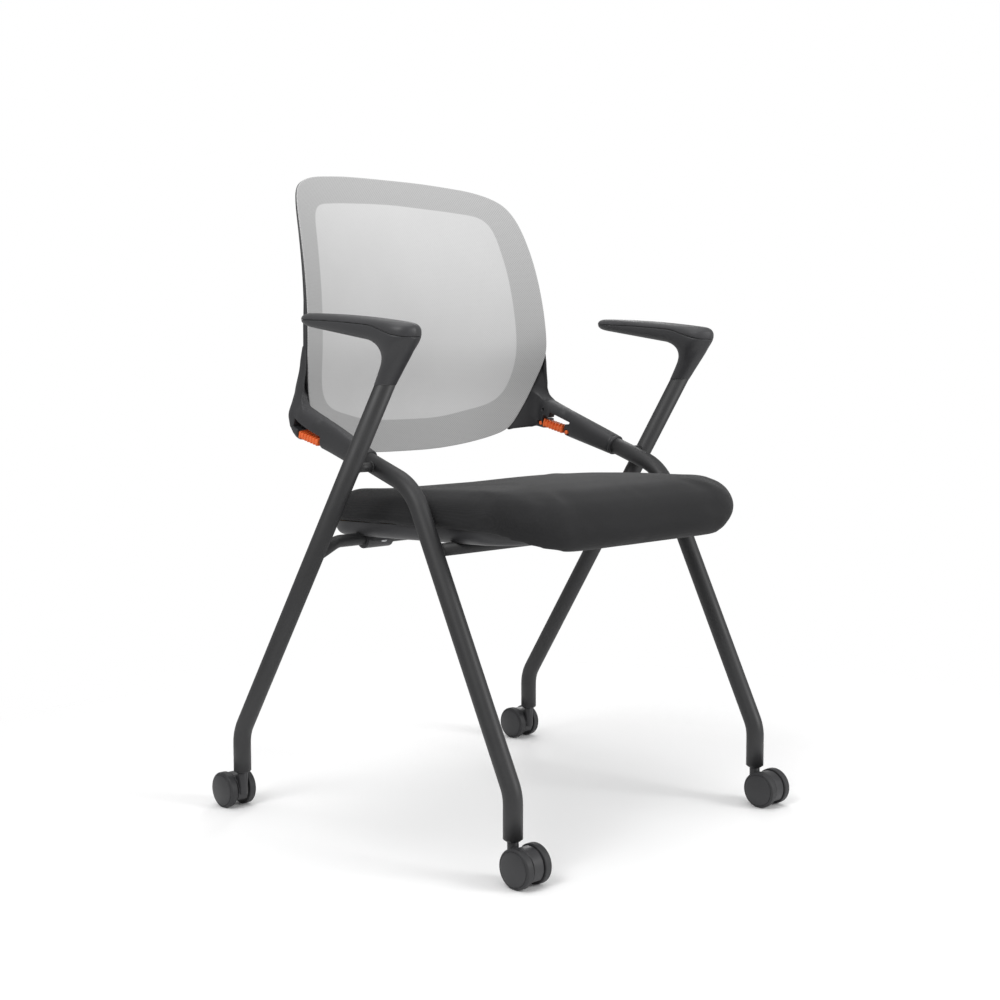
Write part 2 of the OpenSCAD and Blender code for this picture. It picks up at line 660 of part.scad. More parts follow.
clamp_flange = 24;
// Wide room for the pivot tube everywhere but in the saddles
module pivot_room() {
    inner = saddle_x - saddle_w / 2;
    outer = saddle_x + saddle_w / 2;
    along_x(cross_d + 2 * channel_gap, 2 * inner);
    for (side = [-1, 1]) translate([side * (outer + cushion_half_w) / 2, 0, 0])
        along_x(cross_d + 2 * channel_gap, cushion_half_w - outer);
}
module pivot_clamp(side) {
    color(plastic) on_pivot() translate([side * saddle_x, 0, 0]) difference() {
        union() {
            along_x(cross_d + 2 * clamp_t, saddle_w);
            translate([0, 0, pan_low - clamp_t / 2]) cube([saddle_w, 2 * clamp_flange, clamp_t], center = true);
        }
        along_x(cross_d + 2 * run_gap, saddle_w + over);
        translate([0, 0, pan_low + cross_d]) cube([saddle_w + over, 3 * clamp_flange, 2 * cross_d],
            center = true);
        for (end = [-1, 1]) translate([0, end * clamp_screw_y, -cross_d])
            cylinder(d = clamp_screw_d, h = 2 * cross_d);
    }
}
clamp_head_d = 9;
clamp_head_t = 3;
module clamp_screws() {
    color(bright) on_pivot() for (side = [-1, 1], end = [-1, 1])
        translate([side * saddle_x, end * clamp_screw_y, pan_low - clamp_t]) {
            cylinder(d = clamp_screw_d, h = clamp_t + clamp_grip);
            translate([0, 0, -clamp_head_t]) cylinder(d = clamp_head_d, h = clamp_head_t);
        }
}
module seat_board() {
    color(wood) on_pivot() difference() {
        pan_slab(pan_top - board_t, pan_top, pan_wall + free_gap);
        for (p = board_screw_places) translate([p[0], p[1], 0]) cylinder(d = board_screw_d, h = 2 * pan_top);
    }
}
// Four screws hold the board on bosses that stand on the pan's floor
board_screw_d = 5;
board_head_d = 10;
board_head_t = 2.5;
board_screw_x = 120;
boss_d = 12;
board_screw_places = [for (x = [-board_screw_x, board_screw_x], share = [0.22, 0.72]) [x, -cushion_front * share]];
module seat_screws() {
    color(bright) on_pivot() for (p = board_screw_places)
        translate([p[0], p[1], pan_low - board_head_t]) {
            cylinder(d = board_head_d, h = board_head_t);
            cylinder(d = board_screw_d, h = pan_top - pan_low + board_head_t - over);
        }
}

// Cushion: rings of points from the flat base, round the lip and the sides, up to the crown
cushion_steps = 11;
cushion_base = pan_top + free_gap;
side_r = 30;
function soft_step(t) = let (c = max(0, min(1, t))) c * c * (3 - 2 * c);
// How far the front lip has formed at depth y
function lip_at(y) = soft_step((-y - cushion_front + lip_len) / lip_len);
function cushion_rect(inset) = [
    [-cushion_half_w + inset, -cushion_front + inset], [cushion_half_w - inset, -cushion_front + inset],
    [cushion_half_w - inset, cushion_rear - inset], [-cushion_half_w + inset, cushion_rear - inset]];
function cushion_outline(inset) =
    let (r = max(over, cushion_corner_r - inset)) rounded(cushion_rect(inset), [r, r, r, r], cushion_steps);
// Each ring: inset as a share of the side radius, and height as a share from the seam to the top edge
ring_shares = [[0.22, 0], [0.04, 0.12], [0, 0.34], [0.03, 0.55], [0.18, 0.78], [0.5, 0.94], [1.0, 1.0]];
crown_shares = [1.8, 2.8, 4, 5.4, 6.6];
// The front lip's top edge rolls down as the lip forms
roll_share = 0.25;
// The lip hangs less at its ends than in the middle
lip_end_share = 0.65;
function lip_low(p) = cushion_base - lip_drop * lip_at(p[1]) * (1 - lip_end_share * pow(p[0] / cushion_half_w, 4));
seat_mid = (cushion_rear - cushion_front) / 2;
seat_half = (cushion_rear + cushion_front) / 2;
// The top: rolled down at the lip and the rear edge, crowned in front and dished behind
function across(x) = 1 - pow(x / cushion_half_w, 2);
function along(y) = 1 - pow((y - seat_mid) / seat_half, 4);
function behind(y) = soft_step((y + 2 * cushion_rear) / (3 * cushion_rear));
function top_z(p) = cushion_base + cushion_t * (1 - roll_share * pow(lip_at(p[1]), 2))
    - rear_roll * soft_step(p[1] / cushion_rear)
    + across(p[0]) * (cushion_crown * along(p[1]) * (1 - behind(p[1])) - seat_dish * behind(p[1]));
// The lip's lower rings draw in toward the middle
tuck_share = 0.06;
tuck_height = 0.4;
function tuck(p, share) = 1 - tuck_share * pow(lip_at(p[1]), 3) * pow(max(0, 1 - share / tuck_height), 2);
function side_point(p, share) =
    let (t = tuck(p, share), x = p[0] * t, y = seat_mid + (p[1] - seat_mid) * t)
    [x, y, lip_low(p) + (top_z(p) - lip_low(p)) * share];
cushion_points = concat(
    [[0, seat_mid, cushion_base]],
    [for (p = pan_outline(-free_gap, cushion_steps)) [p[0], p[1], cushion_base]],
    [for (s = ring_shares, p = cushion_outline(s[0] * side_r)) side_point(p, s[1])],
    [for (s = crown_shares, p = cushion_outline(s * side_r)) side_point(p, 1)],
    [side_point([0, seat_mid], 1)]);
ring_n = 4 * (cushion_steps + 1);
ring_count = 1 + len(ring_shares) + len(crown_shares);
module seat_cushion() {
    last = len(cushion_points) - 1;
    faces = concat(
        [for (k = [0 : ring_n - 1]) [0, 1 + k, 1 + (k + 1) % ring_n]],
        [for (i = [0 : ring_count - 2], k = [0 : ring_n - 1])
            let (a = 1 + i * ring_n + k, b = 1 + i * ring_n + (k + 1) % ring_n) each
            [[a, a + ring_n, b + ring_n], [a, b + ring_n, b]]],
        [for (k = [0 : ring_n - 1])
            let (a = 1 + (ring_count - 1) * ring_n) [last, a + (k + 1) % ring_n, a + k]]);
    color(fabric) on_pivot() polyhedron(points = cushion_points, faces = faces);
}

// Castors, drawn about the floor point below the stem, with the wheels trailing toward +Y
hood_w = 17;
hood_d = 47;
hood_from = -40;
hood_to = 215;
neck_low = 30;
stem_up = 24;
hub_d = 14;
wheel_edge_r = 4;
wheel_bulge = 2;
module on_foot(i) {
    translate([feet[i][0], feet[i][1], 0]) rotate([0, 0, feet[i][2] > 0 ? 0 : 180]) children();
}
module castor_stems() {
    color(bright) for (i = [0 : 3]) on_foot(i)
        translate([0, 0, neck_low + over]) cylinder(d = stem_d, h = foot_z - neck_low - over + stem_up);
}
module castor_hood(i) {
    color(plastic) on_foot(i) difference() {
        union() {
            translate([0, trail, wheel_d / 2]) rotate([0, 90, 0]) rotate([0, 0, 90 + hood_from])
                rotate_extrude(angle = hood_to - hood_from) translate([hub_d / 2 - over, -hood_w / 2])
                square([(hood_d - hub_d) / 2 + over, hood_w]);
            translate([0, trail, wheel_d / 2]) along_x(hub_d, hood_w + over);
            translate([0, 0, neck_low - over]) cylinder(d = neck_d, h = neck_z - neck_low + over - free_gap);
        }
        translate([0, trail, wheel_d / 2]) along_x(axle_d, hood_w + 2 * over);
        translate([0, 0, neck_low]) cylinder(d = stem_d + 2 * run_gap, h = neck_z);
    }
}
module castor_axle(i) {
    color(bright) on_foot(i) translate([0, trail, wheel_d / 2])
        along_x(axle_d, wheel_gap + wheel_w - 2 * wheel_edge_r);
}
// One wheel: a tyre with rounded edges and a domed outer face, bored for the axle
module wheel(i, side) {
    r = wheel_d / 2;
    half = wheel_w / 2;
    profile = concat(
        [[axle_d / 2 + run_gap, -half], [r - wheel_edge_r / 2, -half], [r, -half + wheel_edge_r / 2]],
        [for (a = [0 : 15 : 90]) [r - wheel_edge_r + wheel_edge_r * cos(a), half - wheel_edge_r
            + wheel_edge_r * sin(a)]],
        [[hub_d / 2, half + wheel_bulge], [0, half + wheel_bulge], [0, half], [axle_d / 2 + run_gap, half]]);
    color(plastic) on_foot(i) translate([side * wheel_gap / 2, trail, wheel_d / 2]) rotate([0, side * 90, 0])
        rotate_extrude() polygon(profile);
}

front_leg(1);  // front_leg_left
front_leg(-1);  // front_leg_right
rear_leg(1);  // rear_leg_left
rear_leg(-1);  // rear_leg_right
front_cross_tube();
rear_cross_tube();
leg_bridges();
foot_plugs();
arm_body(1);  // arm_body_left
arm_body(-1);  // arm_body_right
arm_pad(1);  // arm_pad_left
arm_pad(-1);  // arm_pad_right
arm_screws();
back_sleeve(1);  // back_sleeve_left
back_sleeve(-1);  // back_sleeve_right
sleeve_screws();
back_frame();
mesh_panel();
flex_spring(1);  // flex_spring_left
flex_spring(-1);  // flex_spring_right
seat_pan();
seat_board();
seat_cushion();
seat_screws();
pivot_clamp(1);  // pivot_clamp_left
pivot_clamp(-1);  // pivot_clamp_right
clamp_screws();
castor_stems();
castor_hood(0);  // castor_hood_front_left
castor_hood(1);  // castor_hood_front_right
castor_hood(2);  // castor_hood_rear_left
castor_hood(3);  // castor_hood_rear_right
castor_axle(0);  // axle_front_left
castor_axle(1);  // axle_front_right
castor_axle(2);  // axle_rear_left
castor_axle(3);  // axle_rear_right
wheel(0, -1);  // wheel_front_left_out
wheel(0, 1);  // wheel_front_left_in
wheel(1, 1);  // wheel_front_right_out
wheel(1, -1);  // wheel_front_right_in
wheel(2, 1);  // wheel_rear_left_out
wheel(2, -1);  // wheel_rear_left_in
wheel(3, -1);  // wheel_rear_right_out
wheel(3, 1);  // wheel_rear_right_in
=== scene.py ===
# %% [markdown]
# # A nesting chair with a mesh back
#
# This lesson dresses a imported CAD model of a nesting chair: bent steel legs on twin-wheel castors, moulded
# arms, a light knitted back on a dark frame, orange flex springs and a flip-up seat. The CAD model gives
# every size and joint. Here each visible piece gets its real surface. Units are metres, the floor is Z = 0,
# the chair faces -Y and its left side is +X.

# %% Load the frame
import math
from functools import reduce
import bmesh
import bpy
import numpy as np
from mathutils import Matrix, Vector


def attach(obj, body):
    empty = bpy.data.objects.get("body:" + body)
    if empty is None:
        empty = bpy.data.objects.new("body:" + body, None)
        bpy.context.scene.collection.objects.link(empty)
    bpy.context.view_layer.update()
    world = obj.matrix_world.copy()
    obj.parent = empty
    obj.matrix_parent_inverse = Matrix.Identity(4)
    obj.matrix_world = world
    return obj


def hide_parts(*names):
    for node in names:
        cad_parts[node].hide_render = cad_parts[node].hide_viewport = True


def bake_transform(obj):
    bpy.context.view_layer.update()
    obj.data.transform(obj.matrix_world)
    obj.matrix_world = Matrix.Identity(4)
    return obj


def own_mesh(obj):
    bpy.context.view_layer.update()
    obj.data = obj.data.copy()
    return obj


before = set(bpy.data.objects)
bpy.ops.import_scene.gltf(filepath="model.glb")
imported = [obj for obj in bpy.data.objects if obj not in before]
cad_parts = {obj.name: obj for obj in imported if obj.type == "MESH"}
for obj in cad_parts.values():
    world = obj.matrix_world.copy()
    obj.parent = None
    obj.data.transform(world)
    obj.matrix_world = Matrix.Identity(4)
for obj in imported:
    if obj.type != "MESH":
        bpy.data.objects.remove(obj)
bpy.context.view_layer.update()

# %% [markdown]
# ## The camera
#
# The photograph was taken from a little above seat height, forty-five degrees off the front. The camera's
# place and axes were fitted to the chair's measured points, so it is set from three axes instead of by eye.

# %% Set the camera
EYE = Vector((-1.5969, -1.5896, 0.6483))
AHEAD = Vector((0.70082, 0.70735, -0.09225))
RIGHT = Vector((0.71030, -0.70390, -0.00121))
LENS, SENSOR, FAR = 57.155, 36, 60


def linked(name, data):
    """A new object in the scene that shows the data."""
    item = bpy.data.objects.new(name, data)
    bpy.context.scene.collection.objects.link(item)
    return item


camera = linked("camera", bpy.data.cameras.new("camera"))
camera.data.lens = LENS
camera.data.sensor_width = SENSOR
camera.data.clip_end = FAR
axes = Matrix((RIGHT, RIGHT.cross(AHEAD), -AHEAD)).transposed()
camera.matrix_world = Matrix.Translation(EYE) @ axes.to_4x4()
bpy.context.scene.camera = camera
bpy.context.scene.view_settings.view_transform = "Standard"
print("camera at", tuple(round(v, 3) for v in EYE), "lens", LENS)

# %% [markdown]
# ## Tools for making meshes
#
# Three kinds of surface return again and again on this chair. Tubes are a circle carried along a bent line.
# Turned pieces are a profile spun round an axis. Moulded plastic has soft joins that no bevel can give, so it
# is written as a distance field, negative inside the piece, and a skin of small quads is drawn where it is
# zero.

# %% Objects and pieces
MM = 0.001
SIDES = ((1, "left"), (-1, "right"))


def new_mesh(name, points, faces=()):
    mesh = bpy.data.meshes.new(name)
    points = [tuple(p) for p in np.asarray(points, float)]
    mesh.from_pydata(points, [], [tuple(map(int, f)) for f in faces])
    mesh.validate()
    return mesh


def keep_mesh(name, mesh, body, slot, stands_for=(), sharp=None):
    """Shows a mesh as a smooth piece and hands it to its moving body."""
    mesh.shade_smooth()
    if sharp is not None:
        mesh.set_sharp_from_angle(angle=math.radians(sharp))
    piece = linked(name, mesh)
    if body:
        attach(piece, body)
    if stands_for:
        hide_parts(*stands_for)
    return piece


def add_piece(name, points, faces, finish, *hand_over, **options):
    """Makes a mesh, gives it its finish and keeps it as a piece."""
    mesh = new_mesh(name, points, faces)
    mesh.materials.append(finish)
    return keep_mesh(name, mesh, *hand_over, **options)


def flipped(faces):
    return [tuple(reversed(f)) for f in faces]


def outward(points, faces):
    """Turns every face when the closed mesh's volume comes out negative."""
    points = np.asarray(points, float)
    volume = 0.0
    for f in faces:
        for k in range(1, len(f) - 1):
            volume += points[f[0]] @ np.cross(points[f[k]], points[f[k + 1]])
    return points, faces if volume > 0 else flipped(faces)


def on_side(side, points, faces, middle=0.0):
    """A mesh of the left side, drawn in millimetres about a middle, in metres on the left or the right
    side."""
    points = (np.asarray(points) + (middle, 0, 0)) * MM
    return (points, faces) if side > 0 else (points * (-1, 1, 1), flipped(faces))


def joined(*parts):
    """Several (points, faces) meshes as one."""
    points, faces, start = [], [], 0
    for p, f in parts:
        points.append(np.asarray(p, float))
        faces += [tuple(i + start for i in face) for face in f]
        start += len(p)
    return np.vstack(points), faces


# %% Faces on a grid of points
def grid_faces(rows, columns, wrap_rows=False, wrap_columns=False, start=0):
    """Quads between the points of a grid that are listed row by row."""
    faces = []
    for i in range(rows if wrap_rows else rows - 1):
        for j in range(columns if wrap_columns else columns - 1):
            k, n = (i + 1) % rows, (j + 1) % columns
            faces.append((start + i * columns + j, start + i * columns + n,
                          start + k * columns + n, start + k * columns + j))
    return faces


def end_caps(rows, columns):
    """One face over the first row of a grid and one over its last row."""
    return [tuple(range(columns)), tuple(reversed(range((rows - 1) * columns, rows * columns)))]


def whole_turn(count):
    """Angles of a whole turn, evenly spread."""
    return np.arange(count) * 2 * math.pi / count


# %% Bent tubes
def circles(middles, radii, first, second, sides):
    """Points of a row of circles. first and second are the directions that each circle lies in."""
    angles = whole_turn(sides)[None, :, None]
    out = np.cos(angles) * first[:, None, :] + np.sin(angles) * second
    return (middles[:, None, :] + radii[:, None, None] * out).reshape(-1, 3)


def bent_line(corners, radii, step=4 * MM):
    """A line through the corners with each bend rounded to its radius."""
    corners = [np.array(c, float) for c in corners]
    line = [corners[0]]
    for before, corner, after, radius in zip(corners, corners[1:], corners[2:], radii):
        u, v = before - corner, after - corner
        u, v = u / np.linalg.norm(u), v / np.linalg.norm(v)
        half = math.acos(np.clip(u @ v, -1, 1)) / 2
        middle = corner + (u + v) / np.linalg.norm(u + v) * radius / math.sin(half)
        p = corner + u * radius / math.tan(half) - middle
        q = corner + v * radius / math.tan(half) - middle
        turn = math.pi - 2 * half
        stops = int(turn * radius / step) + 1
        for t in np.arange(stops + 1) / stops:
            away = (p * math.sin((1 - t) * turn) + q * math.sin(t * turn)) / math.sin(turn)
            line.append(middle + away)
    return np.array(line + [corners[-1]])


def tube(line, radius, across, sides=40, wall=2 * MM, bore=6 * MM):
    """Skin of a tube along a flat line. across is the direction square to the line's plane.
    Each open end turns in over the wall's thickness and a little way down the bore."""
    ahead = np.gradient(line, axis=0)
    ahead /= np.linalg.norm(ahead, axis=1)[:, None]
    side = np.array(across, float)
    line = np.vstack([line[0] + ahead[0] * bore, line[0], line[0], line,
                      line[-1], line[-1], line[-1] - ahead[-1] * bore])
    ahead = np.vstack([ahead[:1]] * 3 + [ahead] + [ahead[-1:]] * 3)
    sizes = np.full(len(line), radius)
    sizes[[0, 1, -2, -1]] = radius - wall
    sizes[[2, -3]] = radius - wall / 6
    faces = grid_faces(len(line), sides, wrap_columns=True) + end_caps(len(line), sides)
    return outward(circles(line, sizes, np.cross(side, ahead), side, sides), faces)


# %% Turned pieces
def turned(profile, centre, axis, segments, start=0.0, end=360.0, zero=None, closed=False):
    """Spins a profile of (radius, height) points round an axis through the centre. A part turn gets end caps.
    zero is the direction that angles are counted from."""
    axis = np.array(axis, float)
    first = np.array(zero or ((0, 1, 0) if abs(axis[2]) > 0.5 else (0, 0, 1)), float)
    second = np.cross(axis, first)
    whole = abs(end - start) > 359.9
    angles = np.radians(np.linspace(start, end, segments + (0 if whole else 1), endpoint=not whole))
    out = (np.cos(angles)[:, None] * first + np.sin(angles)[:, None] * second)
    profile = np.array(profile, float)
    points = (np.array(centre, float) + out[:, None, :] * profile[None, :, :1]
              + axis * profile[None, :, 1:2]).reshape(-1, 3)
    faces = grid_faces(len(angles), len(profile), wrap_rows=whole, wrap_columns=closed)
    if not whole and closed:
        faces += end_caps(len(angles), len(profile))
    return outward(points, faces)


# %% Distance fields for moulded plastic
def both(a, b, soft):
    """Where both fields are inside, with the edge between them rounded."""
    h = np.clip(0.5 - 0.5 * (b - a) / soft, 0, 1)
    return b * (1 - h) + a * h + soft * h * (1 - h)


def either(a, b, soft):
    """Where one or the other field is inside, with a fillet between them."""
    return -both(-a, -b, soft)


def cut(a, b, soft):
    """Where the first field is inside and the second is not, with a rounded edge."""
    return both(a, -b, soft)


def all_of(*fields):
    """Where all fields are inside, with sharp edges."""
    return reduce(np.maximum, fields)


def slab(value, middle, half):
    """The room between two parallel planes."""
    return np.abs(value - middle) - half


def ease(t):
    """From 0 to 1 with a soft start and a soft end."""
    t = np.clip(t, 0, 1)
    return t * t * (3 - 2 * t)


def outline_field(outline, a, b):
    """Distance to a closed outline of (a, b) points, negative inside."""
    outline = np.asarray(outline, float)
    least = np.full(np.broadcast(a, b).shape, np.inf)
    inside = np.zeros(least.shape, bool)
    for (a0, b0), (a1, b1) in zip(outline, np.roll(outline, -1, axis=0)):
        da, db = a1 - a0, b1 - b0
        t = np.clip(((a - a0) * da + (b - b0) * db) / (da * da + db * db), 0, 1)
        least = np.minimum(least, (a - a0 - t * da) ** 2 + (b - b0 - t * db) ** 2)
        if db:
            inside ^= ((b0 > b) != (b1 > b)) & (a < a0 + da * (b - b0) / db)
    return np.where(inside, -1, 1) * np.sqrt(least)


# %% Skin of a distance field
def net(values, low, step):
    """A net of quads over the zero surface of a grid of values, with one point in each cell that it
    crosses."""
    inside, cells = values < 0, np.array(values.shape) - 1
    total, count, crossings = np.zeros((*cells, 3)), np.zeros(cells), []
    for k in range(3):
        lower, upper = [slice(None)] * 3, [slice(None)] * 3
        lower[k], upper[k] = slice(0, -1), slice(1, None)
        places = np.argwhere(inside[tuple(lower)] != inside[tuple(upper)])
        ahead = places.copy()
        ahead[:, k] += 1
        v0, v1 = values[tuple(places.T)], values[tuple(ahead.T)]
        at = places.astype(float)
        at[:, k] += v0 / (v0 - v1)
        p, q = [n for n in range(3) if n != k]
        round_edge = []
        for dp, dq in ((0, 0), (1, 0), (1, 1), (0, 1)):
            cell = places.copy()
            cell[:, p] -= dp
            cell[:, q] -= dq
            cell = np.clip(cell, 0, cells - 1)
            np.add.at(total, tuple(cell.T), at)
            np.add.at(count, tuple(cell.T), 1)
            round_edge.append(cell)
        crossings.append((round_edge, (v0 < 0) ^ (k == 1)))
    number = np.cumsum(count.ravel() > 0).reshape(count.shape) - 1
    faces = []
    for round_edge, keep in crossings:
        quad = np.stack([number[tuple(c.T)] for c in round_edge], axis=1)
        quad[~keep] = quad[~keep][:, ::-1]
        faces.append(quad)
    middles = total[count > 0] / count[count > 0][:, None]
    return np.array(low) + step * middles, np.vstack(faces).tolist()


def skin(field, low, high, step, pulls=3, longest=0.4, flattest=0.05):
    """Draws a net over the zero surface of a field, then pulls its points on to that surface."""
    axes = [np.arange(a, b + step, step) for a, b in zip(low, high)]
    values = field(axes[0][:, None, None], axes[1][None, :, None], axes[2][None, None, :])
    points, faces = net(np.broadcast_to(values, tuple(len(a) for a in axes)), low, step)
    small = step * 0.05
    for _ in range(pulls):
        here = field(*points.T)
        slope = np.stack([field(*(points + small * way).T) - here for way in np.eye(3)], axis=1) / small
        pull = -here[:, None] * slope / np.maximum((slope ** 2).sum(axis=1), flattest)[:, None]
        points = points + np.clip(pull, -longest * step, longest * step)
    return points, faces


print("tools ready")

# %% [markdown]
# ## Finishes
#
# Every finish is mixed from noise or bands in the piece's own coordinates, so nothing slides when a piece
# moves. A finish has slow patches of a lighter tone, as dust and handling leave them, a change of gloss over
# the same patches, and a fine relief: orange peel on powder coat, spark grain on moulded plastic, a weave on
# cloth.

# %% Building blocks of a finish
def colour(*seen):
    """A colour, or a grey from one number, as it is seen on a screen from 0 to 255, in the linear values that
    Blender works in."""
    seen = seen * 3 if len(seen) == 1 else seen
    return tuple(c / 255 / 12.92 if c < 11 else ((c / 255 + 0.055) / 1.055) ** 2.4 for c in seen) + (1,)


def node(tree, kind, inputs=None, output=0, **options):
    """Adds a node and returns one of its outputs. An input that is a socket gets a link, and any other value
    is set. A kind that isn't written in full gets the prefix of the tree's own nodes."""
    prefix = "GeometryNode" if tree.type == "GEOMETRY" else "ShaderNode"
    made = tree.nodes.new(kind if "Node" in kind else prefix + kind)
    for key, value in options.items():
        setattr(made, key, value)
    for key, value in (inputs or {}).items():
        if isinstance(value, bpy.types.NodeSocket):
            tree.links.new(value, made.inputs[key])
        else:
            made.inputs[key].default_value = value
    return made.outputs[output]


def calc(tree, operation, *values):
    """One step of arithmetic with sockets or numbers."""
    return node(tree, "ShaderNodeMath", dict(enumerate(values)), operation=operation)


def new_finish(name, **values):
    """A material, its tree and its shader. An underscore in a value's name stands for a space."""
    finish = bpy.data.materials.new(name)
    finish.use_nodes = True
    shader = finish.node_tree.nodes["Principled BSDF"]
    for key, value in values.items():
        shader.inputs[key.replace("_", " ")].default_value = value
    return finish, finish.node_tree, shader


def feed(tree, shader, **sockets):
    """Links sockets to the shader's inputs."""
    for key, socket in sockets.items():
        tree.links.new(socket, shader.inputs[key.replace("_", " ")])


def place(tree):
    return node(tree, "TexCoord", output="Object")


def noise(tree, where, scale, detail=3.0, output=0):
    return node(tree, "TexNoise", {"Vector": where, "Scale": scale, "Detail": detail}, output)


def blend_of(tree, share, a, b):
    """A colour between two colours."""
    return node(tree, "Mix", {0: share, 6: a, 7: b}, output=2, data_type="RGBA")


def ranged(tree, value, low, high, start=0.35, end=0.65):
    """Turns values from start to end into values from low to high."""
    return node(tree, "MapRange", {0: value, 1: start, 2: end, 3: low, 4: high})


def relief(tree, height, strength, depth):
    return node(tree, "Bump", {"Height": height, "Strength": strength, "Distance": depth})


# %% Painted, moulded and plated finishes
GRAIN_TONE, GRAIN_STRENGTH = 0.12, 0.4


def mottled(name, dark, light, gloss, patch, grain, depth, **values):
    """A hard finish: two tones in soft patches, gloss between two values and a fine grain in relief. patch
    and grain are the scales of two noises, and depth is the grain's, in millimetres."""
    finish, tree, shader = new_finish(name, **values)
    where = place(tree)
    patches, fine = noise(tree, where, patch), noise(tree, where, grain, 2.0)
    tone = calc(tree, "ADD", patches, ranged(tree, fine, -GRAIN_TONE, GRAIN_TONE))
    tone = blend_of(tree, ranged(tree, tone, 0, 1, 0.3, 0.7), colour(*dark), colour(*light))
    feed(tree, shader, Base_Color=tone, Roughness=ranged(tree, patches, *gloss),
         Normal=relief(tree, fine, GRAIN_STRENGTH, depth * MM))
    return finish


powder_coat = mottled("powder_coat", (40, 40, 41), (46, 46, 47), (0.46, 0.54), 14, 700, 0.03,
                      Specular_IOR_Level=0.45)
moulded = mottled("moulded_plastic", (46, 46, 48), (53, 53, 55), (0.44, 0.54), 11, 1500, 0.12,
                  Specular_IOR_Level=0.5)
soft_pad = mottled("arm_pad_skin", (48, 48, 50), (55, 55, 57), (0.46, 0.58), 17, 1100, 0.16,
                   Specular_IOR_Level=0.5)
frame_plastic = mottled("back_frame_plastic", (40, 40, 42), (47, 47, 49), (0.42, 0.54), 9, 1400, 0.12,
                        Specular_IOR_Level=0.45)
castor_nylon = mottled("castor_nylon", (38, 38, 40), (45, 45, 47), (0.4, 0.5), 40, 1600, 0.1)
tread_rubber = mottled("tread_rubber", (34, 34, 36), (41, 41, 43), (0.5, 0.64), 60, 900, 0.15)
zinc_plate = mottled("zinc_plate", (168, 170, 173), (186, 187, 188), (0.25, 0.38), 60, 1200, 0.05,
                     Metallic=1.0)
elastomer = mottled("orange_elastomer", (228, 98, 40), (244, 118, 58), (0.42, 0.55), 50, 1300, 0.1,
                    Subsurface_Weight=0.08, Subsurface_Scale=0.004)


# %% Plywood of the hidden seat board
def make_plywood():
    finish, tree, shader = new_finish("plywood", Specular_IOR_Level=0.3)
    where = node(tree, "Mapping", {"Vector": place(tree), "Scale": (3, 60, 400)})
    fibres = noise(tree, where, 1.0, 6.0)
    tone = blend_of(tree, ranged(tree, fibres, 0, 1), colour(172, 134, 92), colour(206, 170, 124))
    feed(tree, shader, Base_Color=tone, Roughness=ranged(tree, fibres, 0.55, 0.72),
         Normal=relief(tree, fibres, 0.3, 0.2 * MM))
    return finish


plywood = make_plywood()

# %% Woven seat cover
THREAD, WANDER = 1.3 * MM, 0.9 * MM


def threads(tree, value, period):
    """Soft ridges that return after each period, from 0 to 1."""
    wave = calc(tree, "SINE", calc(tree, "MULTIPLY", value, 2 * math.pi / period))
    return calc(tree, "MULTIPLY_ADD", wave, 0.5, 0.5)


def make_seat_cover():
    """A plain weave with melange yarn: dark threads with some lighter ones, and a nap that catches light."""
    finish, tree, shader = new_finish("seat_cover", Sheen_Weight=0.1, Sheen_Roughness=0.4,
                                      Specular_IOR_Level=0.2)
    where = place(tree)
    wander = noise(tree, where, 120.0, 2.0, output=1)
    wander = node(tree, "VectorMath", {0: wander, 3: WANDER}, operation="SCALE")
    where = node(tree, "VectorMath", {0: where, 1: wander}, operation="ADD")
    x, y, z = node(tree, "SeparateXYZ", {0: where}).node.outputs
    warp = threads(tree, calc(tree, "ADD", y, z), THREAD)
    weave = calc(tree, "MULTIPLY", threads(tree, x, THREAD), warp)
    yarn, patches = noise(tree, where, 420, 2.0), noise(tree, where, 7)
    tone = calc(tree, "MULTIPLY_ADD", weave, 0.25, ranged(tree, yarn, 0.1, 0.45))
    tone = calc(tree, "ADD", tone, ranged(tree, patches, -0.1, 0.1))
    feed(tree, shader, Base_Color=blend_of(tree, tone, colour(30, 30, 31), colour(50, 50, 51)),
         Roughness=ranged(tree, yarn, 0.78, 0.95),
         Normal=relief(tree, calc(tree, "ADD", weave, yarn), 0.35, 0.3 * MM))
    return finish


seat_cover = make_seat_cover()

# %% Knit of the back
KNIT = 2.6 * MM


def make_knit():
    """Light spacer knit. Its holes stand on a slanted grid in the panel's own flat coordinates. Where it lies
    on the dark ring, the attribute named backed darkens it: the yarn gets painted shade from the ring behind
    it, and its holes show the ring as a darker tone."""
    finish, tree, shader = new_finish("back_knit", Sheen_Weight=0.15, Specular_IOR_Level=0.15)
    flat = node(tree, "UVMap", uv_map="flat")
    slanted = node(tree, "Mapping", {"Vector": flat, "Rotation": (0, 0, math.radians(45)),
                                     "Scale": (1 / KNIT,) * 3})
    holes = node(tree, "TexVoronoi", {"Vector": slanted, "Scale": 1.0, "Randomness": 0.0},
                 voronoi_dimensions="2D")
    open_hole = ranged(tree, holes, 1, 0, 0.16, 0.34)
    backed = node(tree, "Attribute", output="Fac", attribute_name="backed")
    patches = noise(tree, place(tree), 6)
    yarn = blend_of(tree, ranged(tree, patches, 0, 1), colour(199), colour(204))
    # Painted shade: over the ring the yarn is darker, and the holes there are darker still.
    shaded = blend_of(tree, backed, yarn, colour(178))
    through = blend_of(tree, backed, colour(192), colour(148))
    feed(tree, shader, Base_Color=blend_of(tree, open_hole, shaded, through),
         Roughness=ranged(tree, holes, 0.95, 0.75, 0.1, 0.6), Normal=relief(tree, holes, 0.35, 0.4 * MM))
    return finish


knit = make_knit()
print("finishes:", len(bpy.data.materials))

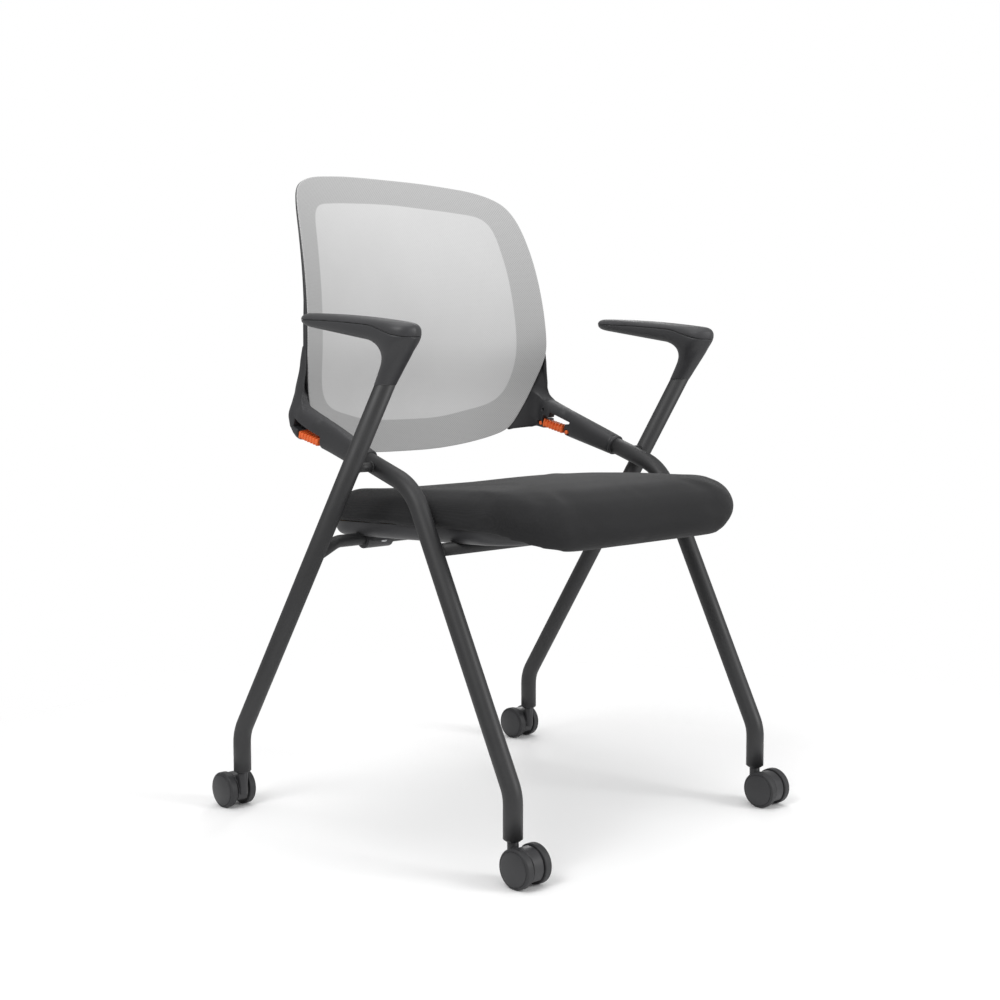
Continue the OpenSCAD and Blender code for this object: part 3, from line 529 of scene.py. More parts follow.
# %% [markdown]
# ## Legs and cross tubes
#
# The legs are round steel tube bent on a mandrel and powder coated. Real bends are smooth, so each leg is one
# sweep along its bent centre line rather than a chain of cylinders. The front tube runs up from the front
# foot, over the shoulder and back into the sleeve of the backrest. The rear tube runs up from the rear foot
# into the arm. They cross halfway, joined by a short bridge.

# %% Sizes of the frame
FRONT_X, REAR_X, FOOT_Y = 248 * MM, 293 * MM, 250 * MM
TUBE_R, CROSS_R, BRIDGE_R = 12.5 * MM, 8.5 * MM, 6.25 * MM
FOOT_Z, BEND_Z, BEND_R = 55 * MM, 110 * MM, 55 * MM
REAR_LEAN, REAR_TOP_Z = math.radians(32.6), 664 * MM
RUN_RISE, RUN_LEN = math.radians(19), 120 * MM
SHOULDER, SHOULDER_R = (-69.1 * MM, 476 * MM), 75 * MM
PIVOT_Y, PIVOT_Z = 79.37 * MM, 395 * MM


def leg_y(z):
    """Depth of the rear leg's middle at height z."""
    return FOOT_Y - (z - BEND_Z) * math.tan(REAR_LEAN)


def run_z(y):
    """Height of the front tube's back run at depth y."""
    return SHOULDER[1] + (y - SHOULDER[0]) * math.tan(RUN_RISE)


run_end = (SHOULDER[0] + RUN_LEN * math.cos(RUN_RISE), SHOULDER[1] + RUN_LEN * math.sin(RUN_RISE))
front_corners = [run_end, SHOULDER, (-FOOT_Y, BEND_Z), (-FOOT_Y, FOOT_Z)]
rear_corners = [(FOOT_Y, FOOT_Z), (FOOT_Y, BEND_Z), (leg_y(REAR_TOP_Z), REAR_TOP_Z)]

# %% Legs
for side, word in SIDES:
    for end, x, corners, radii in (("front", FRONT_X, front_corners, [SHOULDER_R, BEND_R]),
                                   ("rear", REAR_X, rear_corners, [BEND_R])):
        line = bent_line([(side * x, y, z) for y, z in corners], radii)
        add_piece(f"{end}_tube_{word}", *tube(line, TUBE_R, (1, 0, 0)), powder_coat, "frame", "tube",
                  [f"{end}_leg_{word}"])
print("legs swept along", len(front_corners), "and", len(rear_corners), "corners")

# %% [markdown]
# ## Cross tubes, bridges and weld beads
#
# A cross tube is coped to fit the round leg and welded all round. The coped end is inside the bead, so the
# sweep simply ends in the leg's wall and the bead follows the line where the two skins meet.

# %% Weld bead
BEAD_R, BEAD_AROUND, BEAD_SIDES = 1.5 * MM, 40, 10
RIPPLE, RIPPLES = 0.12, 9


def bead(centre, slope, small_r, side):
    """A weld bead where a small tube along X meets a leg that leans by slope, seen from the leg's middle."""
    angles = whole_turn(BEAD_AROUND)
    y, z = small_r * np.cos(angles), small_r * np.sin(angles)
    from_axis = y * math.cos(slope) + z * math.sin(slope)
    x = centre[0] + side * np.sqrt(TUBE_R ** 2 - from_axis ** 2)
    ring = np.stack([x, centre[1] + y, centre[2] + z], axis=1)
    out = np.stack([0 * y, y, z], axis=1) / small_r
    along = np.array([side, 0, 0], float)
    points = circles(ring, BEAD_R * (1 + RIPPLE * np.sin(RIPPLES * angles)), out, along, BEAD_SIDES)
    return outward(points, grid_faces(BEAD_AROUND, BEAD_SIDES, True, True))


def straight(start, end, radius):
    """A straight tube along X."""
    return tube(np.linspace(start, end, 3), radius, (0, 1, 0))


# %% Cross tubes and bridges with their beads
FRONT_CROSS, FRONT_LEAN = (-107.7 * MM, 398 * MM), math.radians(26.3)
DROOP_X, DROOP, DROOP_R, BEAD_UP = 254 * MM, math.radians(25), 30 * MM, 4 * MM
CROSSING_Y = 0.6 * MM
INTO_WALL = 0.7 * TUBE_R


def droop_z(x):
    """Height of the rear cross tube's bent-down end."""
    return PIVOT_Z - (x - DROOP_X) * math.tan(DROOP)


reach = FRONT_X - INTO_WALL
front_parts = [straight((-reach, *FRONT_CROSS), (reach, *FRONT_CROSS), CROSS_R)]
reach = REAR_X - INTO_WALL
pivot_corners = [(reach, droop_z(reach)), (DROOP_X, PIVOT_Z), (-DROOP_X, PIVOT_Z), (-reach, droop_z(reach))]
pivot_line = bent_line([(x, PIVOT_Y, z) for x, z in pivot_corners], [DROOP_R, DROOP_R])
pivot_parts = [tube(pivot_line, CROSS_R, (0, 1, 0))]
bridge_parts = []
for s, _ in SIDES:
    front_parts.append(bead((s * FRONT_X, *FRONT_CROSS), -FRONT_LEAN, CROSS_R, -s))
    pivot_parts.append(bead((s * REAR_X, PIVOT_Y, droop_z(REAR_X) + BEAD_UP), REAR_LEAN, CROSS_R, -s))
    crossing = (CROSSING_Y, run_z(CROSSING_Y))
    bridge_parts.append(straight((s * (FRONT_X + INTO_WALL), *crossing), (s * reach, *crossing), BRIDGE_R))
    bridge_parts.append(bead((s * FRONT_X, *crossing), math.pi / 2 - RUN_RISE, BRIDGE_R, s))
    bridge_parts.append(bead((s * REAR_X, *crossing), REAR_LEAN, BRIDGE_R, -s))
for name, parts, cad_node in (("seat_rest_tube", front_parts, "front_cross_tube"),
                              ("seat_pivot_tube", pivot_parts, "rear_cross_tube"),
                              ("leg_bridge_pair", bridge_parts, "leg_bridges")):
    add_piece(name, *joined(*parts), powder_coat, "frame", "tube", [cad_node])
print("cross tubes and bridges welded in")

# %% [markdown]
# ## Castors
#
# Each castor is two plain wheels with a hood between them. The hood is one moulding: a band over the top of
# the wheels, a web, a hub for the axle and a slim neck that takes the stem. It is a profile turned about the
# axle through 255 degrees, open toward the floor. The wheel's outer disc is slightly domed and meets the
# tread in a fine groove.

# %% Castor profiles, as radius and height along the axle in millimetres
TRAIL, WHEEL_R, WHEEL_AT = 21.5 * MM, 25.5 * MM, 16 * MM
HOOD_FROM, HOOD_TO = -40, 215


def arc(centre, radius, start, end, count):
    """Points of an arc in a profile, from one angle to another in degrees."""
    return [(centre[0] + radius * math.cos(math.radians(a)), centre[1] + radius * math.sin(math.radians(a)))
            for a in np.linspace(start, end, count)]


disc_profile = [
    (0, 8.0), (3, 7.97), (7, 7.8), (11, 7.45), (15, 6.95), (19, 6.3), *arc((21.3, 5.3), 0.55, 70, 0, 4),
    (21.85, 4.2), (21.85, -5), *arc((21.4, -5.3), 0.5, 0, -90, 4), (18.6, -5.8), (18.0, -5.3), (17.2, -2.2),
    (9, -1.8), (7.6, -2.2), (7.2, -5.6), (6.7, -6.0), (3.6, -6.0), (3.2, -5.6), (3.2, 4)]
tread_profile = [
    (22.05, 4.4), *arc((22.5, 5.0), 0.45, 180, 80, 4), (23.3, 5.05), *arc((23.4, 2.95), 2.1, 75, 0, 7),
    (25.5, 0), (25.5, -3.6), *arc((23.6, -3.9), 1.9, 0, -85, 6), (22.4, -5.8), (22.0, -5.4)]
hood_half = [(6, 8.5), (7, 8.5), (7.6, 7.9), (8.2, 2.6), (9.2, 1.8), (19.4, 1.8), (20.4, 2.8), (20.9, 7.7),
             (21.4, 8.4), (22.9, 8.4), (23.5, 7.8)]
hood_profile = hood_half + [(r, -h) for r, h in reversed(hood_half)]
neck_profile = [(0, 21), (6.4, 21), (7.2, 23), (7.25, 50.9), (6.6, 52.1), (5.6, 52.2), (5.6, 40), (0, 40)]
disc_profile, tread_profile, hood_profile, neck_profile = (
    np.array(p) * MM for p in (disc_profile, tread_profile, hood_profile, neck_profile))
feet = {"front_left": (FRONT_X, -1), "front_right": (-FRONT_X, -1),
        "rear_left": (REAR_X, 1), "rear_right": (-REAR_X, 1)}

# %% Hoods, discs and treads
for foot, (x, way) in feet.items():
    axle = np.array((x, way * (FOOT_Y + TRAIL), WHEEL_R))
    band = turned(hood_profile, axle, (way, 0, 0), 60, HOOD_FROM, HOOD_TO, zero=(0, way, 0), closed=True)
    neck = turned(neck_profile, (x, way * FOOT_Y, 0), (0, 0, 1), 40)
    add_piece(f"castor_shell_{foot}", *joined(band, neck), castor_nylon, f"castor_{foot}", "plastic",
              [f"castor_hood_{foot}"], sharp=40)
    outer = math.copysign(1, x)
    for word, face in (("out", outer), ("in", -outer)):
        middle = axle + (face * WHEEL_AT, 0, 0)
        wheel = f"wheel_{foot}_{word}"
        add_piece(f"disc_{foot}_{word}", *turned(disc_profile, middle, (face, 0, 0), 72), castor_nylon, wheel,
                  "plastic", [wheel], sharp=35)
        add_piece(f"tread_{foot}_{word}", *turned(tread_profile, middle, (face, 0, 0), 72, closed=True),
                  tread_rubber, wheel, "tread", sharp=40)
print("castors:", len(feet), "with", 2 * len(feet), "wheels")

# %% [markdown]
# ## Arms
#
# The arm is one flowing moulding: a post grows out of the rear tube, spreads forward and back like a leaf
# stem and becomes a flat-topped beam. Nothing in it is a primitive, so it is a distance field. The beam is
# bounded by its top curve, its lifted underside and its outline from above; the post is a flare round the
# leaning tube; a wide fillet joins the two. A soft pad covers the top, so the field is cut in two along the
# pad's seam.

# %% Arm field, drawn about the plane of the rear leg, sizes in millimetres
ARM_FRONT, ARM_REAR, PLAN_R = -128.0, 99.0, 34.0
ARM_HALF, TAIL_HALF, WIDEN_FROM, WIDEN_LEN = 25.0, 17.0, 95.0, 125.0
TOP_Z, TOP_SLOPE, TOP_BEND = 697.31, 0.06491, 2.795e-4
TOP_CROWN, LOW_CROWN = 3.0, 5.0
LOW_Z, LOW_SLOPE = 671.5, 0.148
NOSE_FROM, NOSE_LEN, NOSE_LIFT, NOSE_POWER = -95.0, 33.0, 13.0, 1.5
POST_LOW, POST_R, POST_TURN, POST_TAPER = 608.0, 12.9, 16.0, 0.03
FLARE_AHEAD, FLARE_BEHIND, FLARE_REACH, POST_SCALE = 0.055, 2.4, 50.0, 0.94
TOP_EDGE, PLAN_EDGE, POST_EDGE = 6.0, 10.0, 1.0
FILLET_BEHIND, FILLET_AHEAD = 30.0, 8.0


def arm_top(y):
    return TOP_Z + TOP_SLOPE * y - TOP_BEND * y * y


def arm_half_width(y):
    return TAIL_HALF + (ARM_HALF - TAIL_HALF) * ease((WIDEN_FROM - y) / WIDEN_LEN)


def arm_post(x, y, z):
    """The flare round the rear tube, and how much of it faces forward. Ahead of the tube it widens evenly,
    and behind it ever faster."""
    along = np.clip((z - POST_LOW) / math.cos(REAR_LEAN), 0, None)
    off = (y - leg_y(z * MM) / MM) * math.cos(REAR_LEAN)
    ahead = ease(-off / POST_TURN)
    flare = FLARE_BEHIND * (along / FLARE_REACH) ** 2 * (1 - ahead) + FLARE_AHEAD * along * ahead
    post = (np.hypot(x, off) - POST_R - POST_TAPER * along - flare) * POST_SCALE
    return both(post, POST_LOW - z, POST_EDGE), ahead


def arm_solid(x, y, z):
    top = z - arm_top(y) + TOP_CROWN * (x / ARM_HALF) ** 2
    nose = NOSE_LIFT * np.clip((NOSE_FROM - y) / NOSE_LEN, 0, 1) ** NOSE_POWER
    low = LOW_Z + LOW_SLOPE * y + LOW_CROWN * (x / ARM_HALF) ** 2 + nose - z
    plan = both(np.abs(x) - arm_half_width(y), np.maximum(ARM_FRONT - y, y - ARM_REAR), PLAN_R)
    post, ahead = arm_post(x, y, z)
    carried = either(low, post, FILLET_BEHIND + (FILLET_AHEAD - FILLET_BEHIND) * ahead)
    return both(both(carried, top, TOP_EDGE), plan, PLAN_EDGE)


# %% Seam between pad and body
SEAM_GAP, SEAM_EDGE = 0.05, 0.8
PAD_T, PAD_MORE, PAD_GROWS_FROM, PAD_GROWS_OVER = 9.0, 8.0, -60.0, 60.0


def pad_seam(y):
    """Height of the seam between body and pad: the pad thickens toward the front."""
    return arm_top(y) - PAD_T - PAD_MORE * ease((PAD_GROWS_FROM - y) / PAD_GROWS_OVER)


def arm_pad(x, y, z):
    return both(arm_solid(x, y, z), pad_seam(y) + SEAM_GAP - z, SEAM_EDGE)


def arm_body(x, y, z):
    return both(arm_solid(x, y, z), z - pad_seam(y) + SEAM_GAP, SEAM_EDGE)


# %% Arm pads and bodies
ARM_ROOM, ARM_STEP = ((-31.0, -134.0, 600.0), (31.0, 105.0, 706.0)), 1.6

pad_skin, body_skin = (skin(field, *ARM_ROOM, ARM_STEP) for field in (arm_pad, arm_body))
print("arm pad", len(pad_skin[1]), "quads, arm body", len(body_skin[1]), "quads")
for side, word in SIDES:
    for kind, drawn, finish in (("pad", pad_skin, soft_pad), ("body", body_skin, moulded)):
        add_piece(f"armrest_{kind}_{word}", *on_side(side, *drawn, middle=REAR_X / MM), finish, "frame",
                  "plastic", [f"arm_{kind}_{word}"])

# %% [markdown]
# ## Sleeve, strap and elbow
#
# On each side one dark moulding carries the back. It begins as a sleeve over the end of the front tube, thins
# to a strap over a notch, and turns up behind the mesh as the elbow. The strap is what bends when the sitter
# leans back; here the moulding is one still mesh on each side. It is drawn in two sets of coordinates: along
# and square to the sloping run for the sleeve, plain depth and height for the elbow.

# %% Outlines and surface of the back's lower corner, in millimetres
ELBOW_SIDE = [
    (120, 555), (138, 563.5), (149, 570.5), (157, 579.5), (162, 593), (163.5, 616), (163.5, 664),
    (166.5, 664), (173, 630), (183, 597), (187.5, 575), (188, 560), (184.5, 546), (177, 536.5),
    (168, 531.5), (157, 529), (146, 529), (136, 540), (120, 540)]
CORNER_FRONT = [
    (175, 522), (200, 528), (228, 531), (240, 545), (243, 575), (243, 600), (240, 625), (236, 655),
    (231, 645), (222, 600), (205, 570), (185, 546), (170, 536)]
MESH_EDGE_Z = [505, 512, 520.5, 530, 551, 577, 607, 636, 658]
MESH_EDGE_X = [106, 143, 172, 190, 204, 218, 228, 235.5, 237.7]
WRAP_R, BACK_Y = 450.0, 224.3
LUMBAR_Z, LUMBAR_FADE, LUMBAR_DROP, UPPER_R = 665.0, 100.0, 5.35, 600.0


def recede(z):
    """How far the back's middle line lies behind the lumbar bulge at height z."""
    above = np.clip(z - LUMBAR_Z, 0, None)
    below = np.clip((LUMBAR_Z - z) / LUMBAR_FADE, 0, 1)
    return UPPER_R - np.sqrt(UPPER_R ** 2 - above ** 2) + LUMBAR_DROP * (1 - np.cos(math.pi * below))


def depth_in_back(x, y, z):
    """Distance behind the mesh's front face, square to the wrap."""
    return np.hypot(x, y - BACK_Y + WRAP_R) - WRAP_R - recede(z)


# %% Notch for the spring block
STRAP_INNER, STRAP_W, INNER_CEILING = 231.0, 25.0, 5.0
CEILING_DROPS_AT, CEILING_DROP = (117.5, 174.5), (9.7, 3.5)
MAIN_SLOT, MAIN_TOP = (140.5, 23.0), -3.0
FRONT_SLOT, WEDGE_SLOT, WEDGE_HEIGHT, WEDGE_END = (134.2, 16.8), (115.0, 6.0), (1.5, 3.0), 248.0
OUTER_SLOT, OUTER_START, OUTER_FLOOR = (147.0, 29.5), 242.0, -10.0
BAR_POCKETS, POCKET_R, POCKET_END = ((168.4, -17.6), (111.0, -12.6)), 4.3, 250.0
DIMPLE, DIMPLE_R, DIMPLE_END = (167.4, 4.5), 2.2, 233.5
SLOT_FILLET = 1.5


def pocket(a, n, middle, radius):
    """A round hole across the chair."""
    return np.hypot(a - middle[0], n - middle[1]) - radius


def notch(x, a, n):
    """Room for the spring block, drawn along and square to the run: a slot under the strap, deeper to the
    rear on the outer side, with two round pockets for the block's bars that the outer wall closes and a small
    round dimple on the inner side."""
    ceiling = INNER_CEILING - (x - STRAP_INNER) / STRAP_W * np.interp(a, CEILING_DROPS_AT, CEILING_DROP)
    main = all_of(slab(a, *MAIN_SLOT), n - MAIN_TOP)
    front = all_of(slab(a, *FRONT_SLOT), n - ceiling)
    wedge = all_of(slab(a, *WEDGE_SLOT), slab(n, *WEDGE_HEIGHT), x - WEDGE_END)
    outside = all_of(slab(a, *OUTER_SLOT), OUTER_START - x, n - ceiling, OUTER_FLOOR - n)
    bars = np.minimum(*(pocket(a, n, middle, POCKET_R) for middle in BAR_POCKETS))
    dimple = all_of(pocket(a, n, DIMPLE, DIMPLE_R), x - DIMPLE_END)
    room = either(either(main, np.minimum(front, wedge), SLOT_FILLET), outside, SLOT_FILLET)
    return reduce(np.minimum, (room, np.maximum(bars, x - POCKET_END), dimple))


# %% Sleeve and elbow
RUN_AT_MIDDLE = 499.8
SLEEVE_FROM, SLEEVE_TO, SLEEVE_TAPER, SLEEVE_POWER = 19.0, 172.0, 98.0, 2.4
SLEEVE_X, STRAP_X, SLEEVE_HALF_W, STRAP_HALF_W = 248.0, 243.5, 15.0, 12.5
SLEEVE_HALF_H, STRAP_HALF_H, SLEEVE_R, SLEEVE_EDGE, STRAP_EDGE = 15.0, 20.5, 13.5, 2.5, 14.0
GROOVE_AT, GROOVE_W, GROOVE_DEPTH = 24.0, 1.3, 0.7
ELBOW_OUTER_X, ELBOW_OUTER_STEPS = 239.3, ((-1.6, 636.0, 26.0), (3.7, 630.0, -33.0), (13.0, 597.0, -34.0))
ELBOW_INNER_Z, ELBOW_INNER_X = (606.0, 650.0, 664.0), (231.0, 236.0, 238.2)
ELBOW_EDGE, ELBOW_EDGE_MORE, ROUNDER_FROM, ROUNDER_OVER = 5.0, 9.0, 592.0, 20.0
PLATE_DEPTH, WEB_AT, WEB_T, WEB_START, WEB_HEIGHT = (5.6, 3.2), 2.6, 1.8, 224.0, (602.0, 38.0)
GAP_PLANE, GAP_START, GAP_FLOOR, GAP_RISE_FROM, GAP_RISE = 406.0, 222.0, 20.5, 156.0, 0.3
OUTER_SKIN, WEB_SKIN, BED_ROOM, MESH_BED = 1.2, 1.0, 1.0, 2.4
PLATE_EDGE, WEB_EDGE, GAP_CORNER = 3.0, 2.0, 10.0
ELBOW_FILLET, PLATE_FILLET, WEB_FILLET = 10.0, 12.0, 3.0
GAP_EDGE, BED_EDGE, NOTCH_EDGE = 3.0, 0.8, 1.6
SIDE_ROOM, SIDE_STEP = ((166.0, 12.0, 490.0), (264.0, 196.0, 668.0)), 1.35


def sleeve_field(x, a, n):
    """The sleeve grows from a round end into a taller, narrower and softly square strap. A fine groove runs
    round its open end."""
    t = np.clip((a - SLEEVE_FROM) / SLEEVE_TAPER, 0, 1)
    across = x - (SLEEVE_X + (STRAP_X - SLEEVE_X) * ease(t))
    across = across / (SLEEVE_HALF_W + (STRAP_HALF_W - SLEEVE_HALF_W) * ease(t))
    height = SLEEVE_HALF_H + (STRAP_HALF_H - SLEEVE_HALF_H) * t
    rim = (np.abs(across) ** SLEEVE_POWER + np.abs(n / height) ** SLEEVE_POWER) ** (1 / SLEEVE_POWER)
    sleeve = (rim - 1) * SLEEVE_R + GROOVE_DEPTH * np.exp(-((a - GROOVE_AT) / GROOVE_W) ** 2)
    return both(both(sleeve, SLEEVE_FROM - a, SLEEVE_EDGE), a - SLEEVE_TO, STRAP_EDGE)


def elbow_outer(z):
    """Where the elbow's outer side lies at height z, with soft steps."""
    return ELBOW_OUTER_X + sum(amount * ease((z - start) / over) for amount, start, over in ELBOW_OUTER_STEPS)


def side_moulding(x, y, z):
    """Sleeve, elbow, corner plate and web as one, less the gap beside the elbow, the mesh's bed and the
    notch."""
    up = z - RUN_AT_MIDDLE
    a = y * math.cos(RUN_RISE) + up * math.sin(RUN_RISE)
    n = up * math.cos(RUN_RISE) - y * math.sin(RUN_RISE)
    outer, depth = elbow_outer(z), depth_in_back(x, y, z)
    width = np.maximum(x - outer, np.interp(z, ELBOW_INNER_Z, ELBOW_INNER_X) - x)
    rounded = ELBOW_EDGE + ELBOW_EDGE_MORE * ease((ROUNDER_FROM - z) / ROUNDER_OVER)
    elbow = both(outline_field(ELBOW_SIDE, y, z), width, rounded)
    plate = both(outline_field(CORNER_FRONT, x, z), slab(depth, *PLATE_DEPTH), PLATE_EDGE)
    web = both(np.abs(x + y - GAP_PLANE - WEB_AT) / math.sqrt(2) - WEB_T,
               all_of(x - outer + WEB_SKIN, WEB_START - x, slab(z, *WEB_HEIGHT)), WEB_EDGE)
    whole = either(either(sleeve_field(x, a, n), elbow, ELBOW_FILLET), plate, PLATE_FILLET)
    whole = either(whole, web, WEB_FILLET)
    slope = (x + y - GAP_PLANE) / math.sqrt(2)
    above_strap = GAP_FLOOR - n + GAP_RISE * np.clip(y - GAP_RISE_FROM, 0, None)
    gap = all_of(both(np.maximum(slope, x - outer + OUTER_SKIN), above_strap, GAP_CORNER), GAP_START - x)
    behind_mesh = np.maximum(x - np.interp(z, MESH_EDGE_Z, MESH_EDGE_X) - BED_ROOM, depth - MESH_BED)
    return cut(cut(cut(whole, gap, GAP_EDGE), behind_mesh, BED_EDGE), notch(x, a, n), NOTCH_EDGE)


# %% Side mouldings, one still mesh on each side
side_skin = skin(side_moulding, *SIDE_ROOM, SIDE_STEP)
print("side moulding", len(side_skin[1]), "quads")
for side, word in SIDES:
    carrier = add_piece(f"back_carrier_{word}", *on_side(side, *side_skin), frame_plastic, None, None)
    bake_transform(carrier)
    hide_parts(f"back_sleeve_{word}")

# %% [markdown]
# ## Ring and mesh
#
# A moulded ring stands behind the edge of the mesh. It is lofted between two closed outlines, just inside the
# mesh's edge and round the window. Both outlines are drawn flat, as seen from the front, and then laid on the
# back's own surface: a wrap about an upright axis and a curve from the lumbar bulge up. The knit is one
# stretched sheet on the same surface with a rolled edge.

# %% Outlines of the back, as half width and height in millimetres from the top down
EDGE_HALF = [
    (0, 910.7), (70, 909.5), (125, 905), (160, 900), (189, 890.5), (207, 877), (218, 853), (225, 818),
    (230.5, 772), (235.5, 706), (237.7, 658), (235.5, 636), (228, 607), (218, 577), (204.5, 551),
    (190.5, 530), (172, 520.5), (143, 512), (106, 505), (60, 500.3), (0, 499.2)]
WINDOW_HALF = [
    (0, 872), (77, 869), (128, 865), (160, 859.5), (176, 842), (184, 800), (189, 755), (194, 675), (193, 630),
    (186, 598), (174, 579), (156, 568), (126, 560), (70, 549.5), (0, 547.5)]
AROUND, BETWEEN_POINTS, SMOOTHINGS = 420, 12, 8
MIDDLE = np.array((0.0, 700.0))


def smooth_loop(half):
    """A closed outline through the half outline and its mirror image, with evenly spread rounded points."""
    half = np.array(half, float)
    loop = np.vstack([half, (half * (-1, 1))[-2:0:-1]])
    p0, p1, p2, p3 = (np.roll(loop, k, axis=0)[:, None, :] for k in (1, 0, -1, -2))
    t = np.linspace(0, 1, BETWEEN_POINTS, endpoint=False)[None, :, None]
    curve = 0.5 * (2 * p1 + (p2 - p0) * t + (2 * p0 - 5 * p1 + 4 * p2 - p3) * t ** 2
                   + (3 * p1 - p0 - 3 * p2 + p3) * t ** 3)
    curve = curve.reshape(-1, 2)
    lengths = np.linalg.norm(np.roll(curve, -1, axis=0) - curve, axis=1)
    at = np.concatenate([[0], np.cumsum(lengths)])
    closed = np.vstack([curve, curve[:1]])
    marks = np.arange(AROUND) * at[-1] / AROUND
    loop = np.stack([np.interp(marks, at, closed[:, k]) for k in (0, 1)], axis=1)
    for _ in range(SMOOTHINGS):
        loop = (np.roll(loop, 1, axis=0) + 2 * loop + np.roll(loop, -1, axis=0)) / 4
    return loop


def on_back(flat, depth):
    """Flat outline points laid on the back's surface at a depth behind the mesh's front face, in metres."""
    x, z = flat[..., 0], flat[..., 1]
    radius = WRAP_R + recede(z) + depth
    angle = np.arcsin(np.clip(x / (WRAP_R + recede(z)), -0.99, 0.99))
    return np.stack([radius * np.sin(angle), BACK_Y - WRAP_R + radius * np.cos(angle), z], axis=-1) * MM


def by_direction(loop, angles):
    """The same outline with one point for each direction from the back's middle, so that two outlines pair
    up."""
    away = loop - MIDDLE
    angle = np.unwrap(np.arctan2(away[:, 1], away[:, 0]))
    order = np.argsort(np.mod(angle, 2 * math.pi))
    turned_to = np.mod(angle, 2 * math.pi)[order]
    turned_to = np.concatenate([turned_to - 2 * math.pi, turned_to, turned_to + 2 * math.pi])
    reach = np.interp(angles, turned_to, np.tile(np.linalg.norm(away, axis=1)[order], 3))
    return MIDDLE + reach[:, None] * np.stack([np.cos(angles), np.sin(angles)], axis=1)


# %% Ring
RING_Z, RING_T, RING_FRONT = [560, 687, 720, 800, 905], [10, 10, 8, 6, 4], 2.1
RING_BACK = (0.35, 0.6, 0.8)
OUTER_LIP = ((1.6, 0.0), (0.9, 0.08), (0.7, 0.3), (0.8, 0.6), (2.0, 0.86), (4.5, 1.0))
INNER_LIP = ((3.0, 0.96), (1.0, 0.75), (0.3, 0.45), (0.3, 0.2), (1.2, 0.0))

edge, window = smooth_loop(EDGE_HALF), smooth_loop(WINDOW_HALF)
directions = np.sort(np.mod(np.arctan2(*(edge - MIDDLE).T[::-1]), 2 * math.pi))
edge_ring, window_ring = by_direction(edge, directions), by_direction(window, directions)
gap = np.linalg.norm(window_ring - edge_ring, axis=1)


def between(share):
    return edge_ring + (window_ring - edge_ring) * np.asarray(share)[..., None]


def section_row(share, depth_share):
    """One row of the ring's section. It is thin along the top and full where it takes the load."""
    flat = between(share)
    return on_back(flat, RING_FRONT + (np.interp(flat[:, 1], RING_Z, RING_T) - RING_FRONT) * depth_share)


rows = [section_row(inwards / gap, depth_share) for inwards, depth_share in OUTER_LIP]
rows += [section_row(share, 1.0) for share in RING_BACK]
rows += [section_row(1 - inwards / gap, depth_share) for inwards, depth_share in INNER_LIP]
ring_points, ring_faces = outward(np.vstack(rows), grid_faces(len(rows), AROUND, True, True))
add_piece("back_ring", ring_points, ring_faces, frame_plastic, "back", "plastic", ["back_frame"], sharp=50)
print("ring:", len(ring_faces), "quads round", AROUND, "stations")

# %% Rows of the knitted mesh: front face, rolled edge and rear face
MESH_T = 2.0
CLOSER, NEAR_WINDOW = 1.4, 0.994
WINDOW_INSET, EDGE_INSET = 0.4, 2.0
ROLLED_EDGE = ((1.2, 0.0), (0.55, 0.18), (0.12, 0.5), (0.0, 1.0), (0.12, 1.5), (0.55, 1.82), (1.2, 2.0))


def face_rows(clear, border, depth):
    """Rows of one face, each with 0 over the window or 1 over the ring: from near the middle out to the
    window's edge, and on to near the panel's edge."""
    rows = []
    for share in (1 - (1 - np.linspace(0, 1, clear + 1)[1:]) ** CLOSER) * NEAR_WINDOW:
        rows.append((MIDDLE + (window_ring - MIDDLE) * share, depth, 0.0))
    for share in np.linspace(0, 1, border):
        inwards = 1 - WINDOW_INSET / gap + ((WINDOW_INSET + EDGE_INSET) / gap - 1) * share
        rows.append((between(inwards), depth, 1.0))
    return rows


mesh_rows = face_rows(26, 12, 0.0)
mesh_rows += [(between(inwards / gap), depth, 1.0) for inwards, depth in ROLLED_EDGE]
mesh_rows += face_rows(8, 4, MESH_T)[::-1]
count = len(mesh_rows)
mesh_faces = grid_faces(count, AROUND, wrap_columns=True)
last = (count - 1) * AROUND
for j in range(AROUND):
    mesh_faces.append((count * AROUND, (j + 1) % AROUND, j))
    mesh_faces.append((count * AROUND + 1, last + j, last + (j + 1) % AROUND))
mesh_rows += [(MIDDLE[None], 0.0, 0.0), (MIDDLE[None], MESH_T, 0.0)]
mesh_points = np.vstack([on_back(flat, depth) for flat, depth, _ in mesh_rows])
print("mesh:", len(mesh_faces), "faces")

# %% Knitted mesh with flat coordinates for the knit
mesh_points, mesh_faces = outward(mesh_points, mesh_faces)
mesh_piece = add_piece("back_mesh", mesh_points, mesh_faces, knit, "back", "mesh", ["mesh_panel"])
flat_points = np.vstack([flat for flat, _, _ in mesh_rows])
wrap = WRAP_R + recede(flat_points[:, 1])
flat_points = np.stack([wrap * np.arcsin(flat_points[:, 0] / wrap), flat_points[:, 1]], axis=1) * MM
corner_points = np.zeros(len(mesh_piece.data.loops), np.int32)
mesh_piece.data.loops.foreach_get("vertex_index", corner_points)
mesh_piece.data.uv_layers.new(name="flat").data.foreach_set("uv", flat_points[corner_points].ravel())
backed = np.concatenate([np.full(len(flat), over_ring) for flat, _, over_ring in mesh_rows])
backed_mark = mesh_piece.data.attributes.new("backed", "FLOAT", "POINT")
backed_mark.data.foreach_set("value", backed.astype(np.float32))
print("points over the ring:", int(backed.sum()), "of", len(backed))

# %% [markdown]
# ## Flex springs
#
# The orange block in each notch is a comb of soft fins with a round bar at each end that snaps into a pocket.
# It is squeezed a little when the back reclines. The fins repeat, so Geometry Nodes set them out: a row of
# points along the block, and on each the same plate with rounded rims. The tree has its sizes as named
# inputs.

